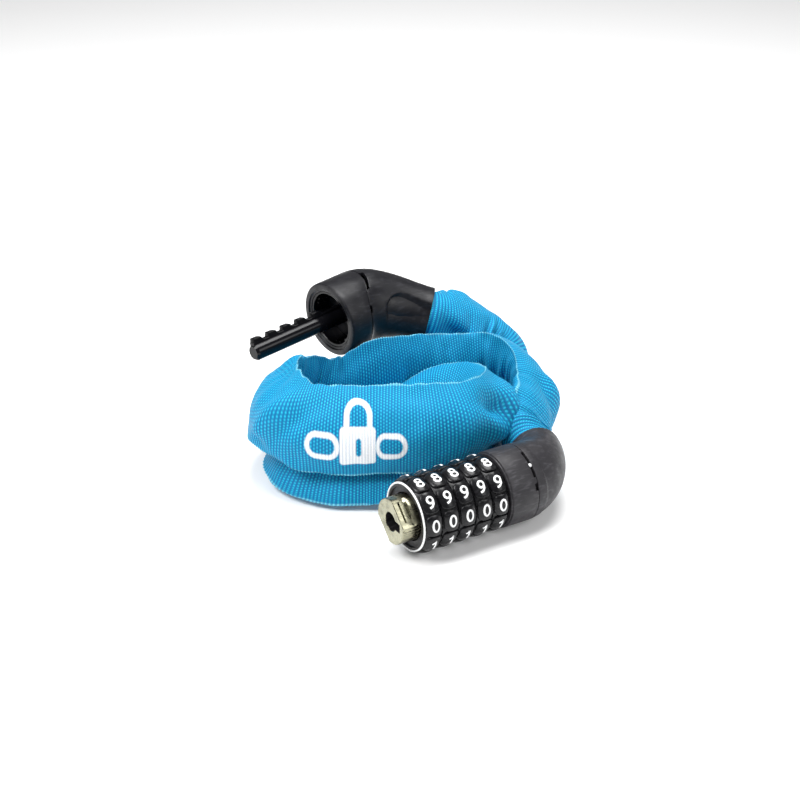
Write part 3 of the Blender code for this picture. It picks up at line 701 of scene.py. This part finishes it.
def section_point(turn, width, depth):
    """Where a flat folded band's skin lies, across and through it: round when as deep as wide."""
    flatness = smooth_step(width / depth, 1.0, 1.7)
    power = 0.5 + 0.55 * flatness
    across = math.cos(turn)
    through = math.copysign((1 - across * across) ** power, math.sin(turn))
    return across * width / 2, through * depth / 2, flatness


def wrinkle(travel, turn, bend, out):
    """Millimetres outwards: buckles on the inside of a bend, and slow and fine folds everywhere."""
    tight = min(1.0, bend.length * 22)
    inside = max(0.0, out.dot(bend.normalized())) if bend.length > 1e-6 else 0.0
    wander = 3.0 * noise.noise(Vector((travel / 13, turn, 3.0)))
    buckle = math.sin(2 * math.pi * travel / BUCKLE_PITCH + wander)
    slow = noise.noise(Vector((travel / 15, math.cos(turn) * 1.5, math.sin(turn) * 1.5)))
    fine = noise.noise(Vector((travel / 5.5, math.cos(turn) * 2.2, math.sin(turn) * 2.2)))
    return max(DEEPEST_WRINKLE, BUCKLE_HEIGHT * tight * inside * buckle + 1.15 * slow + 0.5 * fine)


def fold_lift(point):
    """Millimetres that the named folds lift the skin at a world point."""
    lift = 0.0
    for start, end, amount, fade in FOLD_LINES:
        line = end - start
        part = max(0.0, min(1.0, (point - start).dot(line) / line.length_squared))
        distance = (point - start - line * part).length / MM
        if distance < 3 * fade:
            lift += amount * math.exp(-(distance / fade) ** 2)
    return lift


def sleeve_rings(stations, frames):
    """Rings of points along the sleeve, and each point's distance along it and share of a fold's edge."""
    rings, weave = [], []
    for i, ((place, wide, through, bend), station) in enumerate(zip(frames, stations)):
        travel = i * SLEEVE_STEP
        ends = smooth_step(min(travel, (len(stations) - 1 - i) * SLEEVE_STEP), 3.0, 14.0)
        ring, marks = [], []
        for j in range(SLEEVE_SIDES):
            turn = 2 * math.pi * j / SLEEVE_SIDES
            across, deep, flatness = section_point(turn, station[4], station[5])
            offset = wide * across + through * deep
            out = offset.normalized()
            push = (wrinkle(travel, turn, bend, out) + fold_lift(place + offset * MM)) * ends
            fold = smooth_step(abs(math.cos(turn)), *FOLD_EDGE) * flatness
            scallop = SCALLOP * fold * math.cos(2 * math.pi * travel / RIB_PITCH)
            point = place + (offset + out * (push + scallop)) * MM
            point.z = max(point.z, FLOOR_GAP * MM)
            ring.append(point)
            marks.append((travel, fold))
        rings.append(ring)
        weave.append(marks)
    return rings, weave


def sleeve_mesh(rings, weave):
    """The skin over the rings. Its corners carry distances along and around, and the share of a fold."""
    mesh = bpy.data.meshes.new("sleeve_weave")
    count = SLEEVE_SIDES
    faces, corners = [], []
    for i in range(len(rings) - 1):
        for j in range(count):
            beside = (j + 1) % count
            faces.append((i * count + j, i * count + beside, (i + 1) * count + beside, (i + 1) * count + j))
            for ring, side, step in ((i, j, j), (i, beside, j + 1), (i + 1, beside, j + 1), (i + 1, j, j)):
                travel, fold = weave[ring][side]
                corners += [travel, step / count * SLEEVE_GIRTH, fold]
    mesh.from_pydata([point for ring in rings for point in ring], [], faces)
    attribute = mesh.attributes.new("weave", "FLOAT_VECTOR", "CORNER")
    attribute.data.foreach_set("vector", corners)
    mesh.shade_smooth()
    return mesh


def make_sleeve():
    stations = sleeve_stations()
    frames = station_frames(stations)
    mesh = sleeve_mesh(*sleeve_rings(stations, frames))
    mark = min(range(len(stations)), key=lambda i: math.dist(stations[i][:3], MARK_AT))
    material = woven("sleeve_look", (mark * SLEEVE_STEP, MARK_AROUND * SLEEVE_GIRTH))
    sleeve = make_piece("sleeve_weave", mesh, material, "lock")
    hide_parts("sleeve")


# Lock head

def keyhole_radius(angle):
    """Distance from the axis to the keyhole's wall: a round hole with a slot on the camera's side."""
    off = abs((angle - math.pi / 2 + math.pi) % (2 * math.pi) - math.pi)
    side = KEYHOLE_SLOT_HALF / max(1e-6, math.sin(off))
    end = KEYHOLE_SLOT_REACH / max(1e-6, math.cos(off))
    if off < math.pi / 2 and min(side, end) > KEYHOLE_RADIUS:
        return min(side, end)
    return KEYHOLE_RADIUS


def core_outline(angle):
    """The core's section at an angle: flats on two sides with a saw cut, and fine grooves beside them."""
    off = (angle - CORE_FLAT_ANGLE + math.pi / 2) % math.pi - math.pi / 2
    flat = min(CORE_RADIUS, CORE_FLAT_REACH / math.cos(off))
    edge = CORE_RADIUS
    for groove in CORE_GROOVES:
        near = max(0.0, 1 - abs(math.degrees(off) - groove) / CORE_GROOVE_SPREAD)
        edge -= CORE_GROOVE_DEPTH * near
    head = min(flat, edge)
    cut = head - SAW_CUT_DEPTH if SAW_CUT[0] < math.degrees(off) < SAW_CUT[1] else head
    hole = keyhole_radius(angle)
    return [
        (hole, 4.2), (hole, -6.3), (hole + 0.2, -6.5), (head - 0.25, -6.5), (head, -6.25), (head, -4.65),
        (cut, -4.65), (cut, -3.95), (head, -3.9), (head, -2.3), (max(head, edge - 0.1), -1.6), (edge, -1.4),
        (edge, 0.9), (8.6, 1.3), (8.6, 4.2),
    ]


def shade_keyhole_walls(core, base, material):
    """Paint the keyhole's zinc walls, whose normals point at the axis, with a second, dark material as
    painted shade.
    """
    core.data.materials.append(material)
    turn = base.to_3x3().inverted()
    for polygon in core.data.polygons:
        place = base.inverted() @ polygon.center
        normal = turn @ polygon.normal
        if abs(normal.z) < 0.7 and place.x * normal.x + place.y * normal.y < 0:
            polygon.material_index = 1


def make_front(base, looks):
    core = turned("core_plug", core_outline, base, looks["zinc"], "core", steps=360, sharp=28)
    # The keyhole's walls get dark plastic as painted shade
    shade_keyhole_walls(core, base, looks["plastic"])
    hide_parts("reset_core")
    face = turned("front_face", [
        (12.74, 0.1), (12.74, 0.5), (12.0, 0.5), (12.0, 3.4), (8.95, 3.4), (8.95, 2.5), (9.25, 2.0),
        (9.35, 1.1), (9.5, 0.9), (11.45, 0.9), (11.6, 0.8), (11.75, 0.15), (11.85, 0.02), (12.62, 0.0),
    ], base, looks["plastic"], "lock", steps=144, sharp=30)
    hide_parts("front_cap")
    ring = turned("index_band", [
        (12.78, -0.05), (12.84, -0.1), (13.36, -0.1), (13.42, -0.04), (13.42, 0.4), (12.78, 0.4),
    ], base, looks["white"], "lock", steps=160)
    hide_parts("index_ring")


def pad_radius(around, across):
    """The height of a dial's pad over a point, in millimetres along and across it from its middle."""
    return PAD_TOP - PAD_DROP_ACROSS * (across / 3.1) ** 2 - PAD_DROP_AROUND * (around / 3.9) ** 2


def pad_outline(inset):
    """A rounded rectangle in millimetres around and across the dial, shrunk by inset."""
    half_x = max(0.02, PAD_LENGTH / 2 - inset)
    half_y = max(0.02, PAD_WIDTH / 2 - inset)
    radius = max(0.01, min(half_x, half_y, PAD_CORNER - inset * 0.6))
    points = []
    for corner, (sign_x, sign_y) in enumerate(((1, 1), (-1, 1), (-1, -1), (1, -1))):
        middle = (sign_x * (half_x - radius), sign_y * (half_y - radius))
        points += arc(radius, corner * 90, corner * 90 + 90, 7, middle)
        points.append(((points[-1][0] * 0.5, sign_y * half_y) if corner % 2 == 0 else (sign_x * half_x, 0.0)))
    return points


def dial_barrel(base, start):
    """The dial's body under its pads: a crowned ring with rounded edges."""
    profile = [(DIAL_BORE, 0.25), (DIAL_BORE, 0.0), (12.9, 0.0), (13.2, 0.12), (13.32, 0.4)]
    profile += [(13.35 + 0.5 * math.sin(math.pi * i / 12), 0.5 + 6.2 * i / 12) for i in range(13)]
    profile += [(13.32, 6.8), (13.2, 7.08), (12.9, DIAL_WIDTH), (DIAL_BORE, DIAL_WIDTH)]
    placed = [(radius, start + distance) for radius, distance in profile]
    return turned_mesh("barrel", placed, base, steps=180, sharp=50)


def dial_pad(base, start, middle):
    """One raised pad, as rings from its skirt over its rim, which has the second material, a pale painted
    highlight, to its middle.
    """
    rows = []
    levels = [(-0.1, 1.0), (0.0, 0.42), (0.06, 0.2), (0.16, 0.07), (0.3, 0.01)]
    levels += [(inset, 0.0) for inset in (0.5, 1.1, 1.9, 2.6, 3.2, 3.9)]
    for inset, drop in levels:
        row = []
        for around, across in pad_outline(inset):
            radius = pad_radius(around, across) - drop
            row.append(polar(base, radius, middle + around / DIAL_RADIUS, start + DIAL_WIDTH / 2 + across))
        rows.append(row)
    mesh = grid_mesh("pad", rows, sharp=50)
    sides = len(rows[0])
    for polygon in list(mesh.polygons)[sides:sides * 4]:
        polygon.material_index = 1
    return mesh


def ellipse(centre, radii, start=0, end=360, steps=18):
    """Points on an ellipse, anticlockwise in degrees from its right."""
    return [(centre[0] + radii[0] * x, centre[1] + radii[1] * y) for x, y in arc(1.0, start, end, steps)]


# Each digit as strokes in a box one unit wide and 1.6 high about its middle
DIGIT_STROKES = {
    0: [ellipse((0, 0), (0.38, 0.68), steps=28)],
    1: [[(-0.3, 0.36), (0.02, 0.62), (0.12, 0.8), (0.12, 0.0), (0.12, -0.8)]],
    2: [ellipse((0, 0.32), (0.36, 0.36), 165, -25) + [(-0.38, -0.66)], [(-0.48, -0.68), (0.48, -0.68)]],
    3: [ellipse((-0.02, 0.34), (0.35, 0.34), 150, -90), ellipse((-0.02, -0.32), (0.38, 0.36), 90, -150)],
    4: [[(0.48, -0.3), (-0.4, -0.3), (0.14, 0.62), (0.18, 0.78)], [(0.18, 0.7), (0.18, -0.8)]],
    5: [[(0.4, 0.68), (-0.28, 0.68), (-0.34, 0.04)] + ellipse((-0.02, -0.26), (0.38, 0.42), 130, -140)],
    6: [ellipse((0, -0.28), (0.37, 0.4)), [(-0.37, -0.26), (-0.28, 0.26), (0.0, 0.58), (0.32, 0.7)]],
    7: [[(-0.44, 0.68), (0.38, 0.68), (0.1, 0.1), (-0.12, -0.78)]],
    8: [ellipse((0, 0.34), (0.32, 0.33)), ellipse((0, -0.32), (0.38, 0.37))],
    9: [ellipse((0, 0.28), (0.37, 0.4)), [(0.37, 0.26), (0.28, -0.26), (0.0, -0.58), (-0.32, -0.7)]],
}


def ribbon(stroke, width):
    """Pairs of points on the two edges of a stroke."""
    closed = math.dist(stroke[0], stroke[-1]) < 1e-6
    pairs = []
    for i, (x, y) in enumerate(stroke):
        before = stroke[i - 1] if i else (stroke[-2] if closed else stroke[0])
        after = stroke[i + 1] if i + 1 < len(stroke) else (stroke[1] if closed else stroke[-1])
        ahead = Vector((after[0] - before[0], after[1] - before[1])).normalized()
        side = Vector((-ahead.y, ahead.x)) * width / 2
        pairs.append(((x + side.x, y + side.y), (x - side.x, y - side.y)))
    return pairs


def finer(stroke, longest):
    """The same stroke with no stretch longer than longest."""
    points = [stroke[0]]
    for a, b in zip(stroke, stroke[1:]):
        parts = max(1, math.ceil(math.dist(a, b) / longest))
        for k in range(1, parts + 1):
            points.append((a[0] + (b[0] - a[0]) * k / parts, a[1] + (b[1] - a[1]) * k / parts))
    return points


def digit_meshes(base, start, digit):
    """A digit's strokes, wrapped just above its pad."""
    middle = ZERO_ANGLE + digit * PAD_TURN
    scale = (DIGIT_WIDTH * 0.98, DIGIT_HEIGHT / 1.6)
    meshes = []
    for number, stroke in enumerate(DIGIT_STROKES[digit]):
        millimetres = [(x * scale[0], y * scale[1]) for x, y in finer(stroke, 0.12)]
        rows = []
        for pair in ribbon(millimetres, DIGIT_STROKE):
            row = []
            for x, y in (pair[0], pair[0], pair[1], pair[1]):
                lift = 0.045 + 0.004 * number if len(row) in (1, 2) else -0.05
                radius = pad_radius(-y, x) + lift
                row.append(polar(base, radius, middle - y / DIAL_RADIUS, start + DIAL_WIDTH / 2 + x))
            rows.append(row)
        meshes.append(grid_mesh("stroke", rows, wrap_points=False, sharp=40))
    return meshes


def make_dials(base, looks):
    for number in range(1, DIAL_COUNT + 1):
        start = DIAL_START + (number - 1) * DIAL_PITCH
        body = f"dial_{number}_body"
        pads = [dial_pad(base, start, ZERO_ANGLE + digit * PAD_TURN) for digit in range(PAD_COUNT)]
        mesh = joined(f"number_wheel_{number}", [dial_barrel(base, start)] + pads)
        wheel = make_piece(f"number_wheel_{number}", mesh, looks["dial"], body)
        # The pads' rims get a pale grey material as a painted highlight
        wheel.data.materials.append(looks["edge"])
        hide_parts(f"dial_{number}")
        strokes = [stroke for digit in range(PAD_COUNT) for stroke in digit_meshes(base, start, digit)]
        digits = make_piece(f"digits_{number}", joined(f"digits_{number}", strokes), looks["white"], body)


def slot_depth(angle, slots):
    """How far a seam's edge is cut back at an angle in degrees: slots are (from, to, depth)."""
    for low, high, depth in slots:
        if low < angle % 360 < high:
            return depth
    return 0.0


def collar_outline(angle):
    """The collar's section at an angle, from its front to its slotted seam and the step under the elbow."""
    end = COLLAR_END - slot_depth(math.degrees(angle), COLLAR_SLOTS)
    return [
        (12.7, 39.25), (9.6, 39.25), (9.6, 37.75), (14.0, 37.75), (14.25, 37.85), (14.32, 38.1),
        (14.32, 38.25), (14.65, 38.35), (14.9, 38.55), (COLLAR_RADIUS, 38.9), (COLLAR_RADIUS, 43.0),
        (COLLAR_RADIUS, end - 0.15), (14.92, end), (13.5, end), (13.5, 51.0), (12.45, 51.0), (12.45, 42.0),
        (12.7, 41.9),
    ]


def make_collar(base, looks):
    collar = turned("collar", collar_outline, base, looks["housing"], "lock", steps=360, sharp=32)
    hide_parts("rear_housing")
    dot = turned("index_dot", [
        (0.0, 0.5), (0.55, 0.42), (0.72, 0.2), (0.75, -0.6), (0.0, -0.6),
    ], dot_frame(base), looks["white"], "lock", steps=24)


def dot_frame(base):
    """A frame at the index dot, pointing outwards from the seam."""
    angle = math.radians(DOT_ANGLE)
    turn = base.to_3x3()
    outwards = turn @ Vector((math.cos(angle), math.sin(angle), 0))
    return frame_matrix(polar(base, 14.45, angle, COLLAR_END - 0.35), turn @ Z_AXIS, outwards)


def elbow_row(part, wall):
    """A ring of the elbow's skin, narrowing to the sleeve, with a faint step past the seam."""
    centre, ahead = elbow_point(ELBOW_TURN * part)
    side = Z_AXIS.cross(ahead)
    ease = smooth_step(part, 0.0, 1.0)
    radius = COLLAR_RADIUS + (ELBOW_END_RADIUS - COLLAR_RADIUS) * ease
    narrowing = ELBOW_NARROWING * math.sin(math.pi * part)
    row = []
    for j in range(128):
        angle = 2 * math.pi * j / 128
        facing = max(0.0, math.cos(angle + math.pi / 2 - math.radians(8))) ** 0.6
        step = 0.22 * facing * smooth_step(part, 0.093, 0.1) * (1 - smooth_step(part, 0.1, 0.42))
        reach = (radius - step - wall - narrowing * max(0.0, -math.sin(angle))) * MM
        row.append(centre + (Z_AXIS * math.cos(angle) + side * math.sin(angle)) * reach)
    return row


def make_elbow(looks):
    parts = [0.0, 0.003, 0.01, 0.03, 0.06, 0.092, 0.1] + [0.1 + 0.885 * i / 48 for i in range(1, 49)]
    walls = [0.12, 0.03] + [0.0] * (len(parts) - 2)
    rows = [elbow_row(part, wall) for part, wall in zip(parts, walls)]
    rows += [elbow_row(0.994, 0.05), elbow_row(1.0, 0.3), elbow_row(1.0, 1.1), elbow_row(0.994, 1.35)]
    rows += [elbow_row(part, COVER_WALL) for part in (0.97, 0.9, 0.75, 0.5, 0.25, 0.1, 0.0)]
    mesh = grid_mesh("elbow", rows, wrap_rows=True, sharp=30)
    elbow = make_piece("elbow", mesh, looks["housing"], "lock")
    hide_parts("elbow_cover")


# Keeper head

def seam_height(angle):
    """How far from the rim the keeper's seam is at an angle about its axis."""
    _, normal = seam_frame()
    normal = keeper_frame().to_3x3().inverted() @ normal
    radius = KEEPER_RADIUS
    flat = CUP_END - (normal.x * math.cos(angle) + normal.y * math.sin(angle)) * radius / normal.z
    off = (math.degrees(angle) - 24 + 180) % 360 - 180
    return flat + 3.3 * math.exp(-(off / 36) ** 2)


def cup_outline(angle):
    """The cup's section at an angle, from its recess over its rim to the step under the cover."""
    seam = seam_height(angle)
    return [
        (13.2, CUP_DEPTH + 1.4), (3.8, CUP_DEPTH + 1.4), (3.8, CUP_DEPTH), (11.95, CUP_DEPTH), (12.0, 1.0),
        (12.15, 0.75), (12.35, 0.65), (12.95, 0.65), (13.05, 0.55), (13.1, 0.2), (13.25, 0.02), (13.4, 0.0),
        (14.85, 0.0), (15.25, 0.12), (15.5, 0.42), (15.6, 0.85), (15.62, 4.0), (15.66, 8.0),
        (15.7, seam - 0.2), (15.62, seam), (14.0, seam), (14.0, seam + 1.3), (13.2, seam + 1.3),
    ]


def liner_outline(angle):
    """The liner's section at an angle, with one broad rib and two narrow ones in each third of a turn."""
    degrees = math.degrees(angle) % 120
    rib = 1.3 if 29 < degrees < 41 else (0.55 if 60 < degrees < 64 or 72 < degrees < 76 else 0.0)
    return [
        (11.85, 1.0), (11.85, 9.2), (10.9, 9.2), (10.9, 8.0), (10.9 - rib, 7.9), (10.9 - rib, 3.3),
        (10.9 - rib * 0.7, 3.0), (10.9, 2.9), (10.9, 1.25), (11.05, 1.02), (11.3, 0.95),
    ]


def make_cup(base, looks):
    cup = turned("cup", cup_outline, base, looks["keeper"], "lock", steps=240, sharp=30)
    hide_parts("keeper_cup")
    liner = turned("cup_liner", liner_outline, base, looks["bolt"], "lock", steps=240, sharp=30)
    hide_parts("keeper_liner")


def notch_cut(part, angle, radius):
    """How far the thumb notch lowers the keeper cover's skin at an angle down from the notch's middle."""
    across = math.degrees(angle)
    start = NOTCH_START + 0.13 * min(1.6, abs(across) / 34) ** 3
    fade = 1 - 0.35 * smooth_step(part, 0.6, 1.0)
    depth = NOTCH_DEPTH * smooth_step(part, start, start + 0.075) * fade
    facing = math.cos(angle)
    if facing <= 0.2 or depth <= 0:
        return 0.0
    return max(0.0, radius - (radius - depth) / facing) * (1 - smooth_step(across, -30, 40))


def cover_row(part, wall):
    """A ring of the keeper cover's skin. It leaves the seam and turns square to the curve it follows."""
    centre, ahead = keeper_curve(part)
    place = frame_matrix(centre, Z_AXIS, ahead) @ Matrix.Rotation(-KEEPER_ROLL, 4, "Z")
    ease = smooth_step(part, 0.0, 1.0)
    radius = KEEPER_RADIUS + 0.1 + (KEEPER_END_RADIUS - KEEPER_RADIUS - 0.1) * ease
    row = []
    for j in range(160):
        angle = 2 * math.pi * j / 160
        slant = (seam_height(angle) - CUP_END + 0.25) * (1 - smooth_step(part, 0.0, 0.45))
        slot = slot_depth(math.degrees(angle), KEEPER_SLOTS) * (1 - smooth_step(part, 0.0, 0.06))
        cut = notch_cut(part, angle - math.radians(NOTCH_ANGLE), radius) if wall < 1.0 else 0.0
        row.append(polar(place, radius - cut - wall, angle, slant + slot))
    return row


def make_cover(looks):
    parts = [0.0, 0.004, 0.02, 0.035, 0.05, 0.065] + [0.08 + 0.04 * i for i in range(8)]
    parts += [0.39 + 0.008 * i for i in range(24)] + [0.59 + 0.03 * i for i in range(14)]
    walls = [0.14, 0.03] + [0.0] * (len(parts) - 2)
    rows = [cover_row(part, wall) for part, wall in zip(parts, walls)]
    rows += [cover_row(0.994, 0.04), cover_row(1.0, 0.3), cover_row(1.0, 1.1), cover_row(0.994, 1.35)]
    rows += [cover_row(part, COVER_WALL) for part in (0.96, 0.85, 0.7, 0.5, 0.3, 0.15, 0.0)]
    mesh = grid_mesh("keeper_shell", rows, wrap_rows=True, sharp=26)
    cover = make_piece("keeper_shell", mesh, looks["keeper"], "lock")
    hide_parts("keeper_cover")


def teeth_outline():
    """The bolt's ridge from the side: distance along the bolt, then height off its axis."""
    points = [(PIN_ROOT - 0.5, 0.5), (PIN_ROOT - 0.5, TOOTH_ROOT)]
    for i in reversed(range(DIAL_COUNT)):
        front = -PIN_REACH + FIRST_TOOTH + i * DIAL_PITCH - TOOTH_FLAT / 2
        back = front + TOOTH_FLAT
        points += [(back + TOOTH_BACK_SLOPE, TOOTH_ROOT), (back, TOOTH_TOP)]
        points += [(front, TOOTH_TOP), (front - TOOTH_FRONT_SLOPE, TOOTH_ROOT)]
    return points + [(-PIN_REACH + 0.35, TOOTH_ROOT), (-PIN_REACH + 0.35, 0.5)]


def make_bolt(base, looks):
    pin = [(0.0, PIN_ROOT), (PIN_RADIUS, PIN_ROOT), (PIN_RADIUS, 0.0), (PIN_RADIUS, -PIN_REACH + 1.0),
           (PIN_RADIUS - 0.8, -PIN_REACH), (0.0, -PIN_REACH)]
    # The ridge is drawn with its first number along the bolt and its second off the axis
    side = base @ Matrix(((0, 1, 0, 0), (0, 0, 1, 0), (1, 0, 0, 0), (0, 0, 0, 1)))
    ridge = plate_mesh("ridge", rounded(teeth_outline(), 0.22, 2), 3.0, 0.12, side)
    mesh = joined("bolt", [turned_mesh("pin", pin, base, steps=96, sharp=30), finish_mesh(ridge, 18)])
    bolt = make_piece("bolt", mesh, looks["bolt"], "lock")
    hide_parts("bolt_pin")


def dress_frame(looks):
    """Looks for the frame's own parts, most of them hidden inside the covers."""
    for name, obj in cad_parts.items():
        if obj.hide_render:
            continue
        look = looks["steel"]
        if name.startswith("code_ring"):
            look = looks["brass"]
        elif name in ("anchor_block", "keeper_base"):
            look = looks["zinc"]
        obj.data.materials.clear()
        obj.data.materials.append(look)
        obj.data.shade_smooth()
        obj.data.set_sharp_from_angle(angle=math.radians(35))


# Stage

def add_camera():
    back = layout_direction(0, -math.cos(CAMERA_RISE), math.sin(CAMERA_RISE))
    target = layout(*CAMERA_TARGET)
    camera = bpy.data.cameras.new("camera")
    camera.lens = CAMERA_LENS
    camera.sensor_width = 36.0
    camera.clip_start = 0.01
    camera.clip_end = 20.0
    holder = new_object("camera", camera)
    bpy.context.scene.view_settings.view_transform = "Standard"
    holder.location = target + back * CAMERA_DISTANCE * MM
    holder.rotation_euler = back.to_track_quat("Z", "Y").to_euler()
    bpy.context.scene.camera = holder


def add_area_light(name, place, size, power):
    light = bpy.data.lights.new(name, "AREA")
    light.shape = "DISK"
    light.size = size
    light.energy = power
    holder = new_object(name, light)
    holder.location = layout(*place)
    aim = holder.location - layout(*LIGHT_AIM)
    holder.rotation_euler = aim.to_track_quat("Z", "Y").to_euler()


def add_stage():
    floor = bpy.data.meshes.new("floor")
    corners = [(x * FLOOR_HALF, y * FLOOR_HALF, 0) for x, y in ((-1, -1), (1, -1), (1, 1), (-1, 1))]
    floor.from_pydata(corners, [], [(0, 1, 2, 3)])
    material, _, shader = new_material("floor", FLOOR_TONE, 0.8)
    shader.inputs["Emission Color"].default_value = (1.0, 1.0, 1.0, 1.0)
    shader.inputs["Emission Strength"].default_value = FLOOR_GLOW
    floor.materials.append(material)
    new_object("floor", floor)
    world = bpy.data.worlds.new("studio")
    world.use_nodes = True
    background = world.node_tree.nodes["Background"]
    background.inputs["Color"].default_value = (1.0, 1.0, 1.0, 1.0)
    background.inputs["Strength"].default_value = WORLD_LIGHT
    bpy.context.scene.world = world
    for name, (place, size, power) in LIGHTS.items():
        add_area_light(name, place, size, power)


def make_looks():
    return {
        "dial": moulded_plastic("dial_look", (0.005, 0.005, 0.006), 0.24, 0.000012),
        # Pale grey painted highlight on the dial pads' rims
        "edge": moulded_plastic("dial_rim_highlight_look", (0.24, 0.245, 0.255), 0.2, 0.000012),
        "plastic": moulded_plastic("face_look", (0.012, 0.011, 0.012), 0.42),
        "housing": moulded_plastic("housing_look", (0.022, 0.021, 0.024), 0.46, 0.00006),
        "keeper": moulded_plastic("keeper_look", (0.005, 0.005, 0.007), 0.4, 0.00006),
        "bolt": gloss_black("bolt_look"),
        "white": white_ink("white_look"),
        "zinc": cast_metal("zinc_look", (0.32, 0.31, 0.22), 0.26),
        "steel": cast_metal("steel_look", (0.6, 0.6, 0.6), 0.32),
        "brass": cast_metal("brass_look", (0.75, 0.56, 0.25), 0.3),
    }


def build():
    add_camera()
    make_sleeve()
    looks = make_looks()
    head = lock_frame()
    make_front(head, looks)
    make_dials(head, looks)
    make_collar(head, looks)
    make_elbow(looks)
    keeper = keeper_frame()
    make_cup(keeper, looks)
    make_cover(looks)
    make_bolt(keeper, looks)
    dress_frame(looks)
    add_stage()


build()
